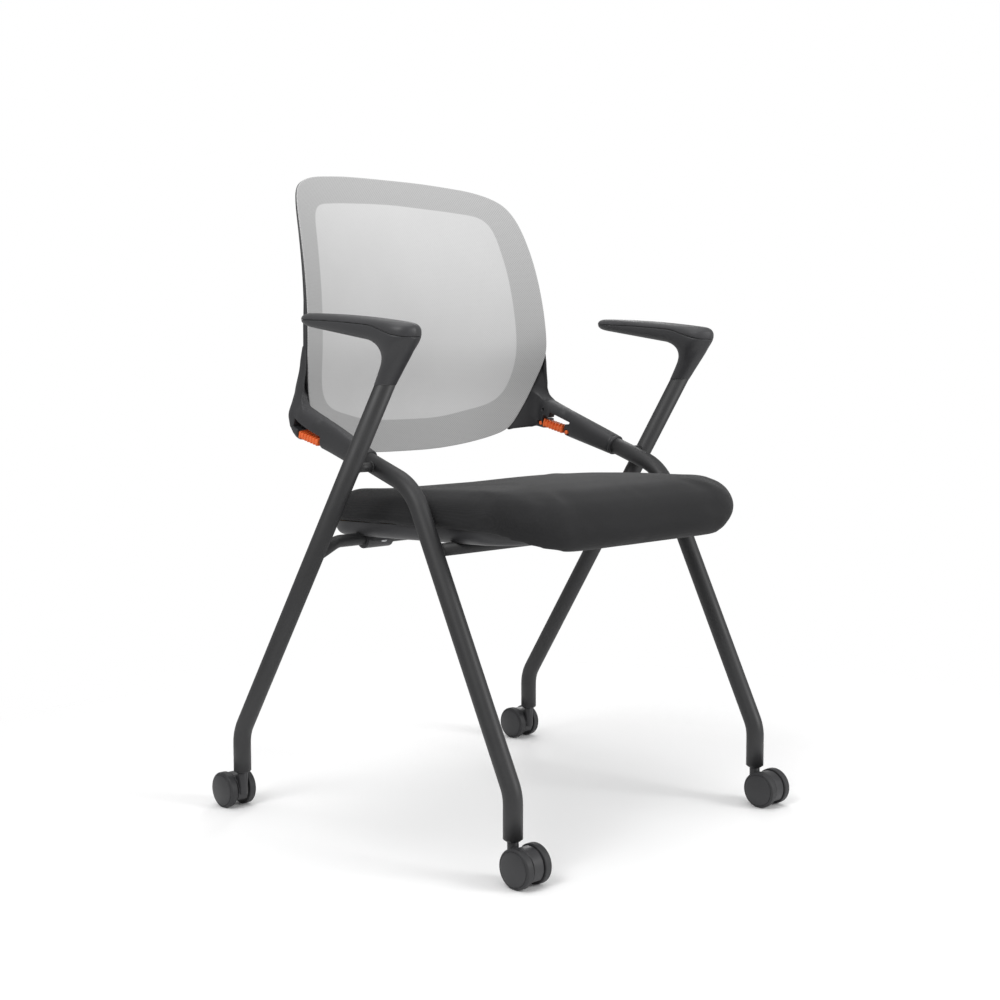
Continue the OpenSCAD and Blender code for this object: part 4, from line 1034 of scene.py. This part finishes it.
# %% Geometry Nodes: plates in a row
def new_tree(name, inputs):
    """An empty Geometry Nodes tree with named inputs and one geometry output."""
    tree = bpy.data.node_groups.new(name, "GeometryNodeTree")
    tree.interface.new_socket("Geometry", in_out="OUTPUT", socket_type="NodeSocketGeometry")
    for label, kind in inputs.items():
        tree.interface.new_socket(label, in_out="INPUT", socket_type="NodeSocket" + kind)
    return tree, tree.nodes.new("NodeGroupInput").outputs


def finish_tree(tree, instances, finish):
    """Makes the instances real, coats them and sends them out."""
    real = node(tree, "RealizeInstances", {0: instances})
    coated = node(tree, "SetMaterial", {0: real, "Material": finish})
    tree.links.new(coated, tree.nodes.new("NodeGroupOutput").inputs[0])


def plain_mesh(name, base, tree, values):
    """Evaluates a tree on a base mesh and returns the result as a plain mesh, with the helper removed."""
    helper = linked(name + "_helper", base)
    modifier = helper.modifiers.new("layout", "NODES")
    modifier.node_group = tree
    for item in tree.interface.items_tree:
        if item.in_out == "INPUT" and item.name in values:
            modifier[item.identifier] = values[item.name]
    bpy.context.view_layer.update()
    mesh = bpy.data.meshes.new_from_object(helper.evaluated_get(bpy.context.evaluated_depsgraph_get()))
    bpy.data.objects.remove(helper)
    return mesh


PLATE_STOPS, CORNER_STOPS, RIM_DROP = 7, 5, -1.1


def make_plate_row():
    """A row of plates. Each is a rounded rectangle carried through its thickness, and swells in the
    middle."""
    tree, given = new_tree("plate_row", {
        "Count": "Int", "Pitch": "Float", "Width": "Float", "Height": "Float", "Thickness": "Float",
        "Corner": "Float", "Finish": "Material"})
    outline = node(tree, "CurvePrimitiveQuadrilateral", {"Width": given["Width"], "Height": given["Height"]})
    rounded = node(tree, "FilletCurve", {"Curve": outline, "Radius": given["Corner"], "Count": CORNER_STOPS,
                                         "Limit Radius": True}, mode="POLY")
    depth = node(tree, "ShaderNodeCombineXYZ", {"Z": given["Thickness"]})
    path = node(tree, "CurvePrimitiveLine", {"End": depth})
    path = node(tree, "ResampleCurve", {"Curve": path, "Count": PLATE_STOPS})
    off = calc(tree, "SUBTRACT", node(tree, "SplineParameter", output="Factor"), 0.5)
    swell = calc(tree, "MULTIPLY_ADD", calc(tree, "POWER", off, 4.0), RIM_DROP, 1.0)
    plate = node(tree, "CurveToMesh", {"Curve": path, "Profile Curve": rounded, "Scale": swell,
                                       "Fill Caps": True})
    step = node(tree, "ShaderNodeCombineXYZ", {"Z": given["Pitch"]})
    points = node(tree, "MeshLine", {"Count": given["Count"], "Offset": step})
    row = node(tree, "InstanceOnPoints", {"Points": points, "Instance": plate})
    finish_tree(tree, row, given["Finish"])
    return tree


plate_row = make_plate_row()
print("tree", plate_row.name, "with", len(plate_row.interface.items_tree) - 1, "inputs")

# %% Parts of a spring block
SPRING_X, SPRING_AT, SPRING_LOW, SPRING_DIP = 243.5 * MM, 143 * MM, 13.5 * MM, math.radians(5.5)
BLOCK_W, FIN_H, FIN_T, FIN_CORNER = 23 * MM, 13.2 * MM, 3.5 * MM, 1.6 * MM
FINS, FIN_PITCH, FIN_SHIFT = 7, 6.3 * MM, 1 * MM
BAR_R, BAR_DOWN, BAR_SOFT, BARS_AT = 3.2 * MM, 2.3 * MM, 0.5 * MM, (-31.5 * MM, 25.5 * MM)
BAR_INWARDS, BAR_OUTWARDS = 11.4 * MM, 5.0 * MM
OUTER_LOWER = 0.5
CORE = (-22.5 * MM, 20.5 * MM, -FIN_H / 2 + 4.2 * MM, FIN_H / 2 - 1.3 * MM, 10.4 * MM)
NECK = (-31 * MM, 25 * MM, 0.8 * MM, 3.8 * MM, 5 * MM)
SPINE_SOFT, SPINE_ROWS = 1.4 * MM, 12


def spring_frame(x):
    """Matrix whose Z runs along the block, whose Y points down from it and whose X is the chair's. The block
    dips a little from the sloping run, about its own middle."""
    s, c = math.sin(RUN_RISE), math.cos(RUN_RISE)
    middle_y = SPRING_AT * c + SPRING_LOW * s
    middle_z = run_z(0) + SPRING_AT * s - SPRING_LOW * c
    s, c = math.sin(RUN_RISE - SPRING_DIP), math.cos(RUN_RISE - SPRING_DIP)
    return np.array(((1, 0, 0, x), (0, s, c, middle_y), (0, -c, s, middle_z)))


def bar_across(at, start, end):
    """A round bar across the block with softened ends."""
    profile = [(0, end), (BAR_R - BAR_SOFT, end), (BAR_R, end - BAR_SOFT),
               (BAR_R, start + BAR_SOFT), (BAR_R - BAR_SOFT, start), (0, start)]
    return turned(profile, (0, BAR_DOWN, at), (1, 0, 0), 32)


def spine(z0, z1, low, high, half):
    """The thin web that joins the fins, with every edge softened: a rounded outline carried along."""
    corners = [(half - SPINE_SOFT, high - SPINE_SOFT), (-half + SPINE_SOFT, high - SPINE_SOFT),
               (-half + SPINE_SOFT, low + SPINE_SOFT), (half - SPINE_SOFT, low + SPINE_SOFT)]
    ring = np.array([p for k, corner in enumerate(corners)
                     for p in arc(corner, SPINE_SOFT, 90 * k, 90 * k + 90, 5)])
    rows = [np.column_stack([ring, np.full(len(ring), z)]) for z in np.linspace(z0, z1, SPINE_ROWS)]
    faces = grid_faces(SPINE_ROWS, len(ring), wrap_columns=True) + end_caps(SPINE_ROWS, len(ring))
    return outward(np.vstack(rows), faces)


# %% Spring blocks
for side, word in SIDES:
    fins = plain_mesh(f"spring_fins_{word}", bpy.data.meshes.new("fins_base"), plate_row, {
        "Count": FINS, "Pitch": FIN_PITCH, "Width": BLOCK_W, "Height": FIN_H, "Thickness": FIN_T,
        "Corner": FIN_CORNER, "Finish": elastomer})
    fins.transform(Matrix.Translation((0, 0, -(FINS - 1) / 2 * FIN_PITCH - FIN_T / 2 - FIN_SHIFT)))
    points = np.array([v.co for v in fins.vertices])
    outer_share = np.clip(0.5 + side * points[:, 0] / BLOCK_W, 0, 1)
    points[:, 1] *= np.where(points[:, 1] < 0, 1 - OUTER_LOWER * outer_share, 1)
    inwards, outwards = sorted((-side * BAR_INWARDS, side * BAR_OUTWARDS))
    points, faces = joined(outward(points, [tuple(p.vertices) for p in fins.polygons]),
                           *(bar_across(at, inwards, outwards) for at in BARS_AT), spine(*CORE), spine(*NECK))
    matrix = spring_frame(side * SPRING_X)
    points, faces = outward(points @ matrix[:, :3].T + matrix[:, 3], faces)
    block = add_piece(f"spring_{word}", points, faces, elastomer, "frame", "spring",
                      [f"flex_spring_{word}"], sharp=50)
    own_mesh(block)
print("springs:", len(SIDES), "with", FINS, "fins each")

# %% [markdown]
# ## Screws
#
# All screws on the chair are button-head screws driven home from below. One screw of each kind is turned, and
# a tree sets it on every place that carries one, facing the way that place faces.

# %% Geometry Nodes: one screw on many places
def make_screw_set():
    tree, given = new_tree("screw_set", {"Places": "Geometry", "Screw": "Object", "Finish": "Material"})
    facing = node(tree, "InputNamedAttribute", {"Name": "facing"}, data_type="FLOAT_VECTOR")
    turn = node(tree, "FunctionNodeAlignRotationToVector", {"Vector": facing}, axis="Z")
    screw = node(tree, "ObjectInfo", {"Object": given["Screw"]}, output="Geometry")
    placed = node(tree, "InstanceOnPoints", {"Points": given["Places"], "Instance": screw, "Rotation": turn})
    finish_tree(tree, placed, given["Finish"])
    return tree


SOCKET, SOCKET_DEPTH, RIM, DOME = 0.45, 0.55, 0.25, (0.3, 1.5, 6)


def screw_model(head_r, head_t, shank_r, length):
    """A button head with a round socket, and its shank behind. Socket and rim are shares of the head."""
    floor = -head_t * SOCKET_DEPTH
    profile = [(0, floor), (head_r * SOCKET, floor), (head_r * SOCKET, -head_t)]
    profile += [(head_r * (SOCKET + (1 - SOCKET) * math.sin(t)), -head_t * (RIM + (1 - RIM) * math.cos(t)))
                for t in np.linspace(*DOME)]
    profile += [(head_r, 0), (shank_r, 0), (shank_r, length), (0, length)]
    return linked("screw_helper", new_mesh("screw", *turned(profile, (0, 0, 0), (0, 0, 1), 36)))


screw_set = make_screw_set()

# %% Planes that the screws stand on
SEAT_SLOPE = math.radians(1.8)
ARM_TILT = math.atan(11 / (95 + 256 / 3))
ARM_MIDDLE_Y, ARM_MIDDLE_Z = -256 / 3 * MM, 681 * MM


def on_seat(points):
    """Points drawn about the seat's pivot, in metres, turned and moved to the chair's frame."""
    points = np.asarray(points, float)
    x, y, z = points[..., 0], points[..., 1], points[..., 2]
    return np.stack([x, PIVOT_Y + y * math.cos(SEAT_SLOPE) + z * math.sin(SEAT_SLOPE),
                     PIVOT_Z - y * math.sin(SEAT_SLOPE) + z * math.cos(SEAT_SLOPE)], axis=-1)


def up_from(slope):
    """The direction square to a plane that rises toward the rear by a slope."""
    return np.array((0, -math.sin(slope), math.cos(slope)))


def on_arm(x, y):
    return np.array((x, y, ARM_MIDDLE_Z + (y - ARM_MIDDLE_Y) * math.tan(ARM_TILT)))


# %% Screws: places on the left, facing, head radius and height, shank radius and length in millimetres
CLAMP_X, CLAMP_Y, CLAMP_Z = 186 * MM, 18 * MM, -2 * MM
BOARD_X, BOARD_Y, BOARD_Z = 120 * MM, (-0.22 * 342 * MM, -0.72 * 342 * MM), 3 * MM
PAD_Y, PAD_SINK = (-256 / 12 * MM, 38 * MM), 7 * MM
SLEEVE_Y, SLEEVE_SINK = 64 * MM, 15.2 * MM

seat_up, arm_up, run_up = up_from(-SEAT_SLOPE), up_from(ARM_TILT), up_from(RUN_RISE)
screw_groups = {
    "clamp_screw_set": ([on_seat((CLAMP_X, y, CLAMP_Z)) for y in (CLAMP_Y, -CLAMP_Y)], seat_up,
                        (4.5, 3, 2.4, 12), "seat", "clamp_screws"),
    "board_screw_set": ([on_seat((BOARD_X, y, BOARD_Z)) for y in BOARD_Y], seat_up,
                        (5, 2.5, 2.4, 19), "seat", "seat_screws"),
    "pad_screw_set": ([on_arm(REAR_X, y) - PAD_SINK * arm_up for y in PAD_Y], arm_up,
                      (4, 3, 1.9, 10), "frame", "arm_screws"),
    "sleeve_screw_set": ([(FRONT_X, SLEEVE_Y, run_z(SLEEVE_Y)) - SLEEVE_SINK * run_up], run_up,
                         (2.5, 1.2, 2.2, 2.7), "frame", "sleeve_screws"),
}
for name, (places, facing, sizes, body, cad_node) in screw_groups.items():
    places = [spot * (s, 1, 1) for s, _ in SIDES for spot in places]
    model = screw_model(*(v * MM for v in sizes))
    base = new_mesh(name, places)
    mark = base.attributes.new("facing", "FLOAT_VECTOR", "POINT")
    mark.data.foreach_set("vector", np.tile(facing, len(places)).astype(np.float32))
    mesh = plain_mesh(name, base, screw_set, {"Screw": model, "Finish": zinc_plate})
    bpy.data.objects.remove(model)
    keep_mesh(name, mesh, body, "zinc", [cad_node], sharp=40)
    print(name, len(places), "screws,", len(mesh.polygons), "faces")

# %% [markdown]
# ## Seat pan
#
# The pan is a shallow moulded tray under the cushion. Its rim shows below the cushion's lower seam along the
# sides, and the cushion's rolled front lip hangs down in front of it. Two channels cross its floor, one over
# the tube that the seat turns on and one over the tube that it rests on. Floor and wall are one height field
# on a grid whose rows run straight across the seat, so that the channels stay crisp.

# %% Seat heights, drawn about the pivot in millimetres
CUSHION_HALF, CUSHION_FRONT = 228.0, 342.0
BASE_Z, LIP_DROP, LIP_LEN, LIP_ENDS = 24.3, 39.0, 140.0, 0.65
PAN_HALF, PAN_FRONT, PAN_REAR, PAN_CORNER_R = 221.0, 303.0, 87.0, 69.0
PAN_TOP, PAN_FLOOR, WALL_W, WALL_POWER, PAN_T = 24.1, 3.0, 17.0, 2.6, 2.6
CHANNEL_R, CHANNEL_INSET, CHANNEL_FADE = 10.6, 6.0, 8.0
FRONT_CROSS_Y, FRONT_CROSS_Z, NO_CHANNEL = -187.1, -2.9, -1e3
PAN_MIDDLE = (PAN_REAR - PAN_FRONT) / 2
PAN_LONG = (PAN_REAR + PAN_FRONT) / 2


def seam_z(x, y):
    """Height of the cushion's lower seam: level, and hanging at the front lip, less so at the lip's ends."""
    lip = ease((-y - CUSHION_FRONT + LIP_LEN) / LIP_LEN)
    return BASE_Z - LIP_DROP * lip * (1 - LIP_ENDS * (x / CUSHION_HALF) ** 4)


def edge_distance(x, y, lift):
    """How far a point lies inside the pan's rounded outline, moved in by the wall's thickness lift."""
    qx = slab(x, 0, PAN_HALF) + PAN_CORNER_R
    qy = slab(y, PAN_MIDDLE, PAN_LONG) + PAN_CORNER_R
    outside = np.hypot(np.clip(qx, 0, None), np.clip(qy, 0, None)) + np.minimum(np.maximum(qx, qy), 0)
    return PAN_CORNER_R - lift - outside


def channel(y, centre, radius, top):
    """Height of a channel over a cross tube: an arch where the tube passes, and nothing beside it."""
    arch = top - radius + np.sqrt(np.clip(radius ** 2 - (y - centre) ** 2, 0, None))
    return np.where(np.abs(y - centre) < radius, arch, NO_CHANNEL)


def pan_height(x, y, lift):
    """Height of the pan's outer skin, or of its inner skin with lift as the wall's thickness."""
    d, radius = edge_distance(x, y, lift), CHANNEL_R + lift
    wall = np.clip(1 - d / (WALL_W - lift), 0, 1)
    rise = 1 - (1 - wall ** WALL_POWER) ** (1 / WALL_POWER)
    height = PAN_FLOOR + lift + (PAN_TOP - PAN_FLOOR - lift) * rise
    arches = np.maximum(channel(y, 0.0, radius, radius),
                        channel(y, FRONT_CROSS_Y, radius, FRONT_CROSS_Z + radius))
    inside = np.clip((d - CHANNEL_INSET) / CHANNEL_FADE, 0, 1)
    return np.where(arches > height, height + (arches - height) * inside, height)


# %% Grid of a pan skin
EDGE_STOPS = np.array([0, 0.12, 0.5, 1.1, 2, 3.2, 4.8, 6.8, 9.2, 12, 15])
EDGE_BAND = EDGE_STOPS[-1]
ARCH_STOPS, BESIDE_ARCH, CLOSEST = 21, 0.25, 0.1
ROW_STEP, COLUMN_STEP = 5.0, 7.0


def spread(low, high, marks, wide):
    """Grid stops from low to high: close together at the ends and at the marks, wide elsewhere."""
    stops = [low + EDGE_STOPS, high - EDGE_STOPS]
    stops.append(np.arange(low + EDGE_BAND + wide / 2, high - EDGE_BAND, wide))
    for centre in marks:
        stops.append(centre + CHANNEL_R * np.sin(np.radians(np.linspace(-90, 90, ARCH_STOPS))))
        stops.append([centre - CHANNEL_R - BESIDE_ARCH, centre + CHANNEL_R + BESIDE_ARCH])
    stops = np.sort(np.concatenate(stops))
    return stops[np.concatenate([[True], np.diff(stops) > CLOSEST])]


def pan_skin(lift):
    """Points of the outer skin, or of the inner one with lift as the wall's thickness, row by row."""
    y = spread(-PAN_FRONT, PAN_REAR, [0.0, FRONT_CROSS_Y], ROW_STEP)
    y = PAN_MIDDLE + (y - PAN_MIDDLE) * (1 - lift / PAN_LONG)
    r = PAN_CORNER_R - lift
    past = np.clip(slab(y, PAN_MIDDLE, PAN_LONG) + PAN_CORNER_R, 0, r)
    half = (PAN_HALF - PAN_CORNER_R + np.sqrt(r ** 2 - past ** 2))[:, None]
    u = spread(-PAN_HALF, PAN_HALF, [], COLUMN_STEP)
    near = PAN_HALF - np.abs(u)
    x = np.where(near < EDGE_BAND + 0.01, np.sign(u) * (half - near),
                 u * ((half - EDGE_BAND) / (PAN_HALF - EDGE_BAND)))
    y = np.broadcast_to(y[:, None], x.shape)
    return np.stack([x, y, pan_height(x, y, lift)], axis=-1)


# %% Seat pan
outer_skin, inner_skin = pan_skin(0.0), pan_skin(PAN_T)
n_rows, n_columns = outer_skin.shape[:2]
size = n_rows * n_columns
pan_faces = grid_faces(n_rows, n_columns) + flipped(grid_faces(n_rows, n_columns, start=size))
number = np.arange(size).reshape(n_rows, n_columns)
border = [*number[0], *number[1:, -1], *number[-1, -2::-1], *number[-2:0:-1, 0]]
for a, b in zip(border, border[1:] + border[:1]):
    pan_faces.append((b, a, a + size, b + size))
pan_points = on_seat(np.vstack([outer_skin.reshape(-1, 3), inner_skin.reshape(-1, 3)]) * MM)
add_piece("seat_tray", *outward(pan_points, pan_faces), moulded, "seat", "plastic", ["seat_pan"], sharp=55)
print("pan:", n_rows, "by", n_columns, "stations on each skin")

# %% [markdown]
# ## Cushion
#
# A foam pad with a woven cover pulled over its edge. A plain solid looks cast, so a copy of the CAD solid is
# drawn in a little, remeshed evenly and blown up as cloth for a few frames. The air lifts the fabric where
# nothing holds it, while the underside stays flat on the board, and no point moves further than a set
# longest move.

# %% Steps of a cloth cushion
DRAW_IN, VOXEL, UNDERSIDE = 0.9 * MM, 5 * MM, -0.7
PRESSURE, CLOTH_MASS, CLOTH_QUALITY, CLOTH_FRAMES = 2.6, 0.3, 5, 20
HELD_BELOW, LONGEST_MOVE = 2 * MM, 4.0 * MM
SMOOTH_SHARE, SMOOTH_TIMES, LOOSE, SAME_PLACE = 0.5, 14, 1.012, 1e-5


def evaluated(piece):
    return piece.evaluated_get(bpy.context.evaluated_depsgraph_get())


def bake(piece):
    """Makes the result of the piece's modifiers its mesh."""
    piece.data = bpy.data.meshes.new_from_object(evaluated(piece))
    piece.modifiers.clear()


def places_of(mesh):
    return np.array([v.co for v in mesh.vertices])


def drawn_in(source, name):
    """A copy of a solid that is drawn in except underneath, with an even mesh."""
    work = bmesh.new()
    work.from_mesh(source.data)
    bmesh.ops.remove_doubles(work, verts=work.verts, dist=SAME_PLACE)
    work.normal_update()
    for vertex in work.verts:
        if vertex.normal.z > UNDERSIDE:
            vertex.co -= vertex.normal * DRAW_IN
    mesh = bpy.data.meshes.new(name)
    work.to_mesh(mesh)
    work.free()
    piece = linked(name, mesh)
    remesh = piece.modifiers.new("remesh", "REMESH")
    remesh.mode, remesh.voxel_size, remesh.use_smooth_shade = "VOXEL", VOXEL, True
    bake(piece)
    return piece


def above_seam(points):
    """Height over the cushion's lower seam, square to the seat."""
    y, z = points[:, 1] - PIVOT_Y, points[:, 2] - PIVOT_Z
    along = y * math.cos(SEAT_SLOPE) - z * math.sin(SEAT_SLOPE)
    return z * math.cos(SEAT_SLOPE) + y * math.sin(SEAT_SLOPE) - seam_z(points[:, 0] / MM, along / MM) * MM


def blow_up(piece):
    """Lets air press the cloth out for some frames. The underside is held, and no point moves further than
    the longest move."""
    start = places_of(piece.data)
    held = piece.vertex_groups.new(name="held")
    held.add([int(i) for i in np.flatnonzero(above_seam(start) < HELD_BELOW)], 1.0, "ADD")
    cloth = piece.modifiers.new("cloth", "CLOTH").settings
    cloth.quality = CLOTH_QUALITY
    cloth.mass = CLOTH_MASS
    cloth.use_pressure = True
    cloth.uniform_pressure_force = PRESSURE
    cloth.effector_weights.gravity = 0
    cloth.vertex_group_mass = "held"
    for frame_number in range(1, CLOTH_FRAMES + 1):
        bpy.context.scene.frame_set(frame_number)
    shift = places_of(evaluated(piece).to_mesh()) - start
    evaluated(piece).to_mesh_clear()
    piece.modifiers.clear()
    bpy.context.scene.frame_set(1)
    length = np.linalg.norm(shift, axis=1)
    shift *= (np.minimum(length, LONGEST_MOVE) / np.maximum(length, 1e-9))[:, None]
    piece.data.vertices.foreach_set("co", (start + shift).ravel())
    print("cushion: furthest move", round(float(length.max()) / MM, 1), "mm, capped at", LONGEST_MOVE / MM)


def settle(piece):
    """Smooths the cover, refines it and spreads it over its board."""
    smooth = piece.modifiers.new("even", "SMOOTH")
    smooth.factor, smooth.iterations = SMOOTH_SHARE, SMOOTH_TIMES
    finer = piece.modifiers.new("finer", "SUBSURF")
    finer.levels = finer.render_levels = 1
    bake(piece)
    middle = Vector((0, sum(v.co.y for v in piece.data.vertices) / len(piece.data.vertices), 0))
    piece.data.transform(Matrix.Translation(middle) @ Matrix.Diagonal((LOOSE, LOOSE, 1, 1))
                         @ Matrix.Translation(-middle))
    piece.vertex_groups.clear()
    piece.data.materials.clear()
    piece.data.shade_smooth()


# %% Cushion by cloth simulation
cushion = drawn_in(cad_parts["seat_cushion"], "cushion")
blow_up(cushion)
settle(cushion)
cushion.data.materials.append(seat_cover)
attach(cushion, "seat")
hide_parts("seat_cushion")
print("cushion:", len(cushion.data.polygons), "faces")

# %% [markdown]
# ## Parts that stay as the CAD model has them
#
# Foot plugs, castor stems, axles, the seat board and its clamps are turned, sawn or plainly moulded parts
# whose CAD surface is already their real one. They only get their finishes.

# %% Finishes on the remaining CAD nodes
kept_finishes = {
    "foot_plugs": (moulded, "plastic"), "castor_stems": (zinc_plate, "zinc"), "seat_board": (plywood, "wood"),
    "pivot_clamp_left": (moulded, "plastic"), "pivot_clamp_right": (moulded, "plastic"),
    **{f"axle_{foot}": (zinc_plate, "zinc") for foot in feet},
}
for name, (finish, slot_name) in kept_finishes.items():
    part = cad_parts[name]
    part.data.materials.clear()
    part.data.materials.append(finish)
print("CAD nodes kept in sight:", len(kept_finishes))

# %% [markdown]
# ## Studio
#
# A pale floor keeps the chair's soft shadow and fades into a white surround, as on a paper sweep. One large
# soft light stands to the camera's left and above, another to its right, a third hangs over the chair, and a
# strip behind draws a streak along the tubes.

# %% Floor
FADE_FROM, FADE_TO, FLOOR_RINGS = 0.55, 1.2, (0, 0.4, 0.9, 1.8)


def make_floor_finish():
    """White paper that turns transparent away from the chair."""
    finish, tree, shader = new_finish("paper_floor", Base_Color=colour(250), Roughness=0.9,
                                      Specular_IOR_Level=0.0)
    away = node(tree, "VectorMath", {0: place(tree)}, output=1, operation="LENGTH")
    mixed = node(tree, "MixShader", {0: ranged(tree, away, 0, 1, FADE_FROM, FADE_TO), 1: shader.outputs[0],
                                     2: node(tree, "BsdfTransparent")})
    tree.links.new(mixed, tree.nodes["Material Output"].inputs["Surface"])
    return finish


floor_mesh = new_mesh("floor", *turned([(r, 0) for r in FLOOR_RINGS], (0, 0, 0), (0, 0, 1), 96))
floor_mesh.materials.append(make_floor_finish())
floor = linked("floor", floor_mesh)

# %% Surround and lamps
SURROUND_LIGHT, SURROUND_SEEN = 196, 255
CHAIR_MIDDLE = Vector((0, 0, 0.5))

world = bpy.data.worlds.new("surround")
bpy.context.scene.world = world
world.use_nodes = True
sky = world.node_tree
seen = node(sky, "LightPath", output="Is Camera Ray")
feed(sky, sky.nodes["Background"], Color=blend_of(sky, seen, colour(SURROUND_LIGHT), colour(SURROUND_SEEN)))


def lamp(name, place_at, width, height, power):
    """A soft rectangle of light that points at the chair."""
    item = linked(name, bpy.data.lights.new(name, "AREA"))
    item.data.shape = "RECTANGLE"
    item.data.size, item.data.size_y, item.data.energy = width, height, power
    item.location = place_at
    item.rotation_euler = (CHAIR_MIDDLE - Vector(place_at)).to_track_quat("-Z", "Y").to_euler()


lamp("key", (-2.4, -0.6, 2.5), 1.4, 1.4, 42)
lamp("fill", (1.2, -3.0, 1.6), 1.2, 1.6, 50)
lamp("top", (0.2, 0.1, 3.0), 2.2, 2.2, 26)
lamp("strip", (2.2, 2.0, 1.7), 0.6, 2.2, 14)
print("lamps:", len(bpy.data.lights))
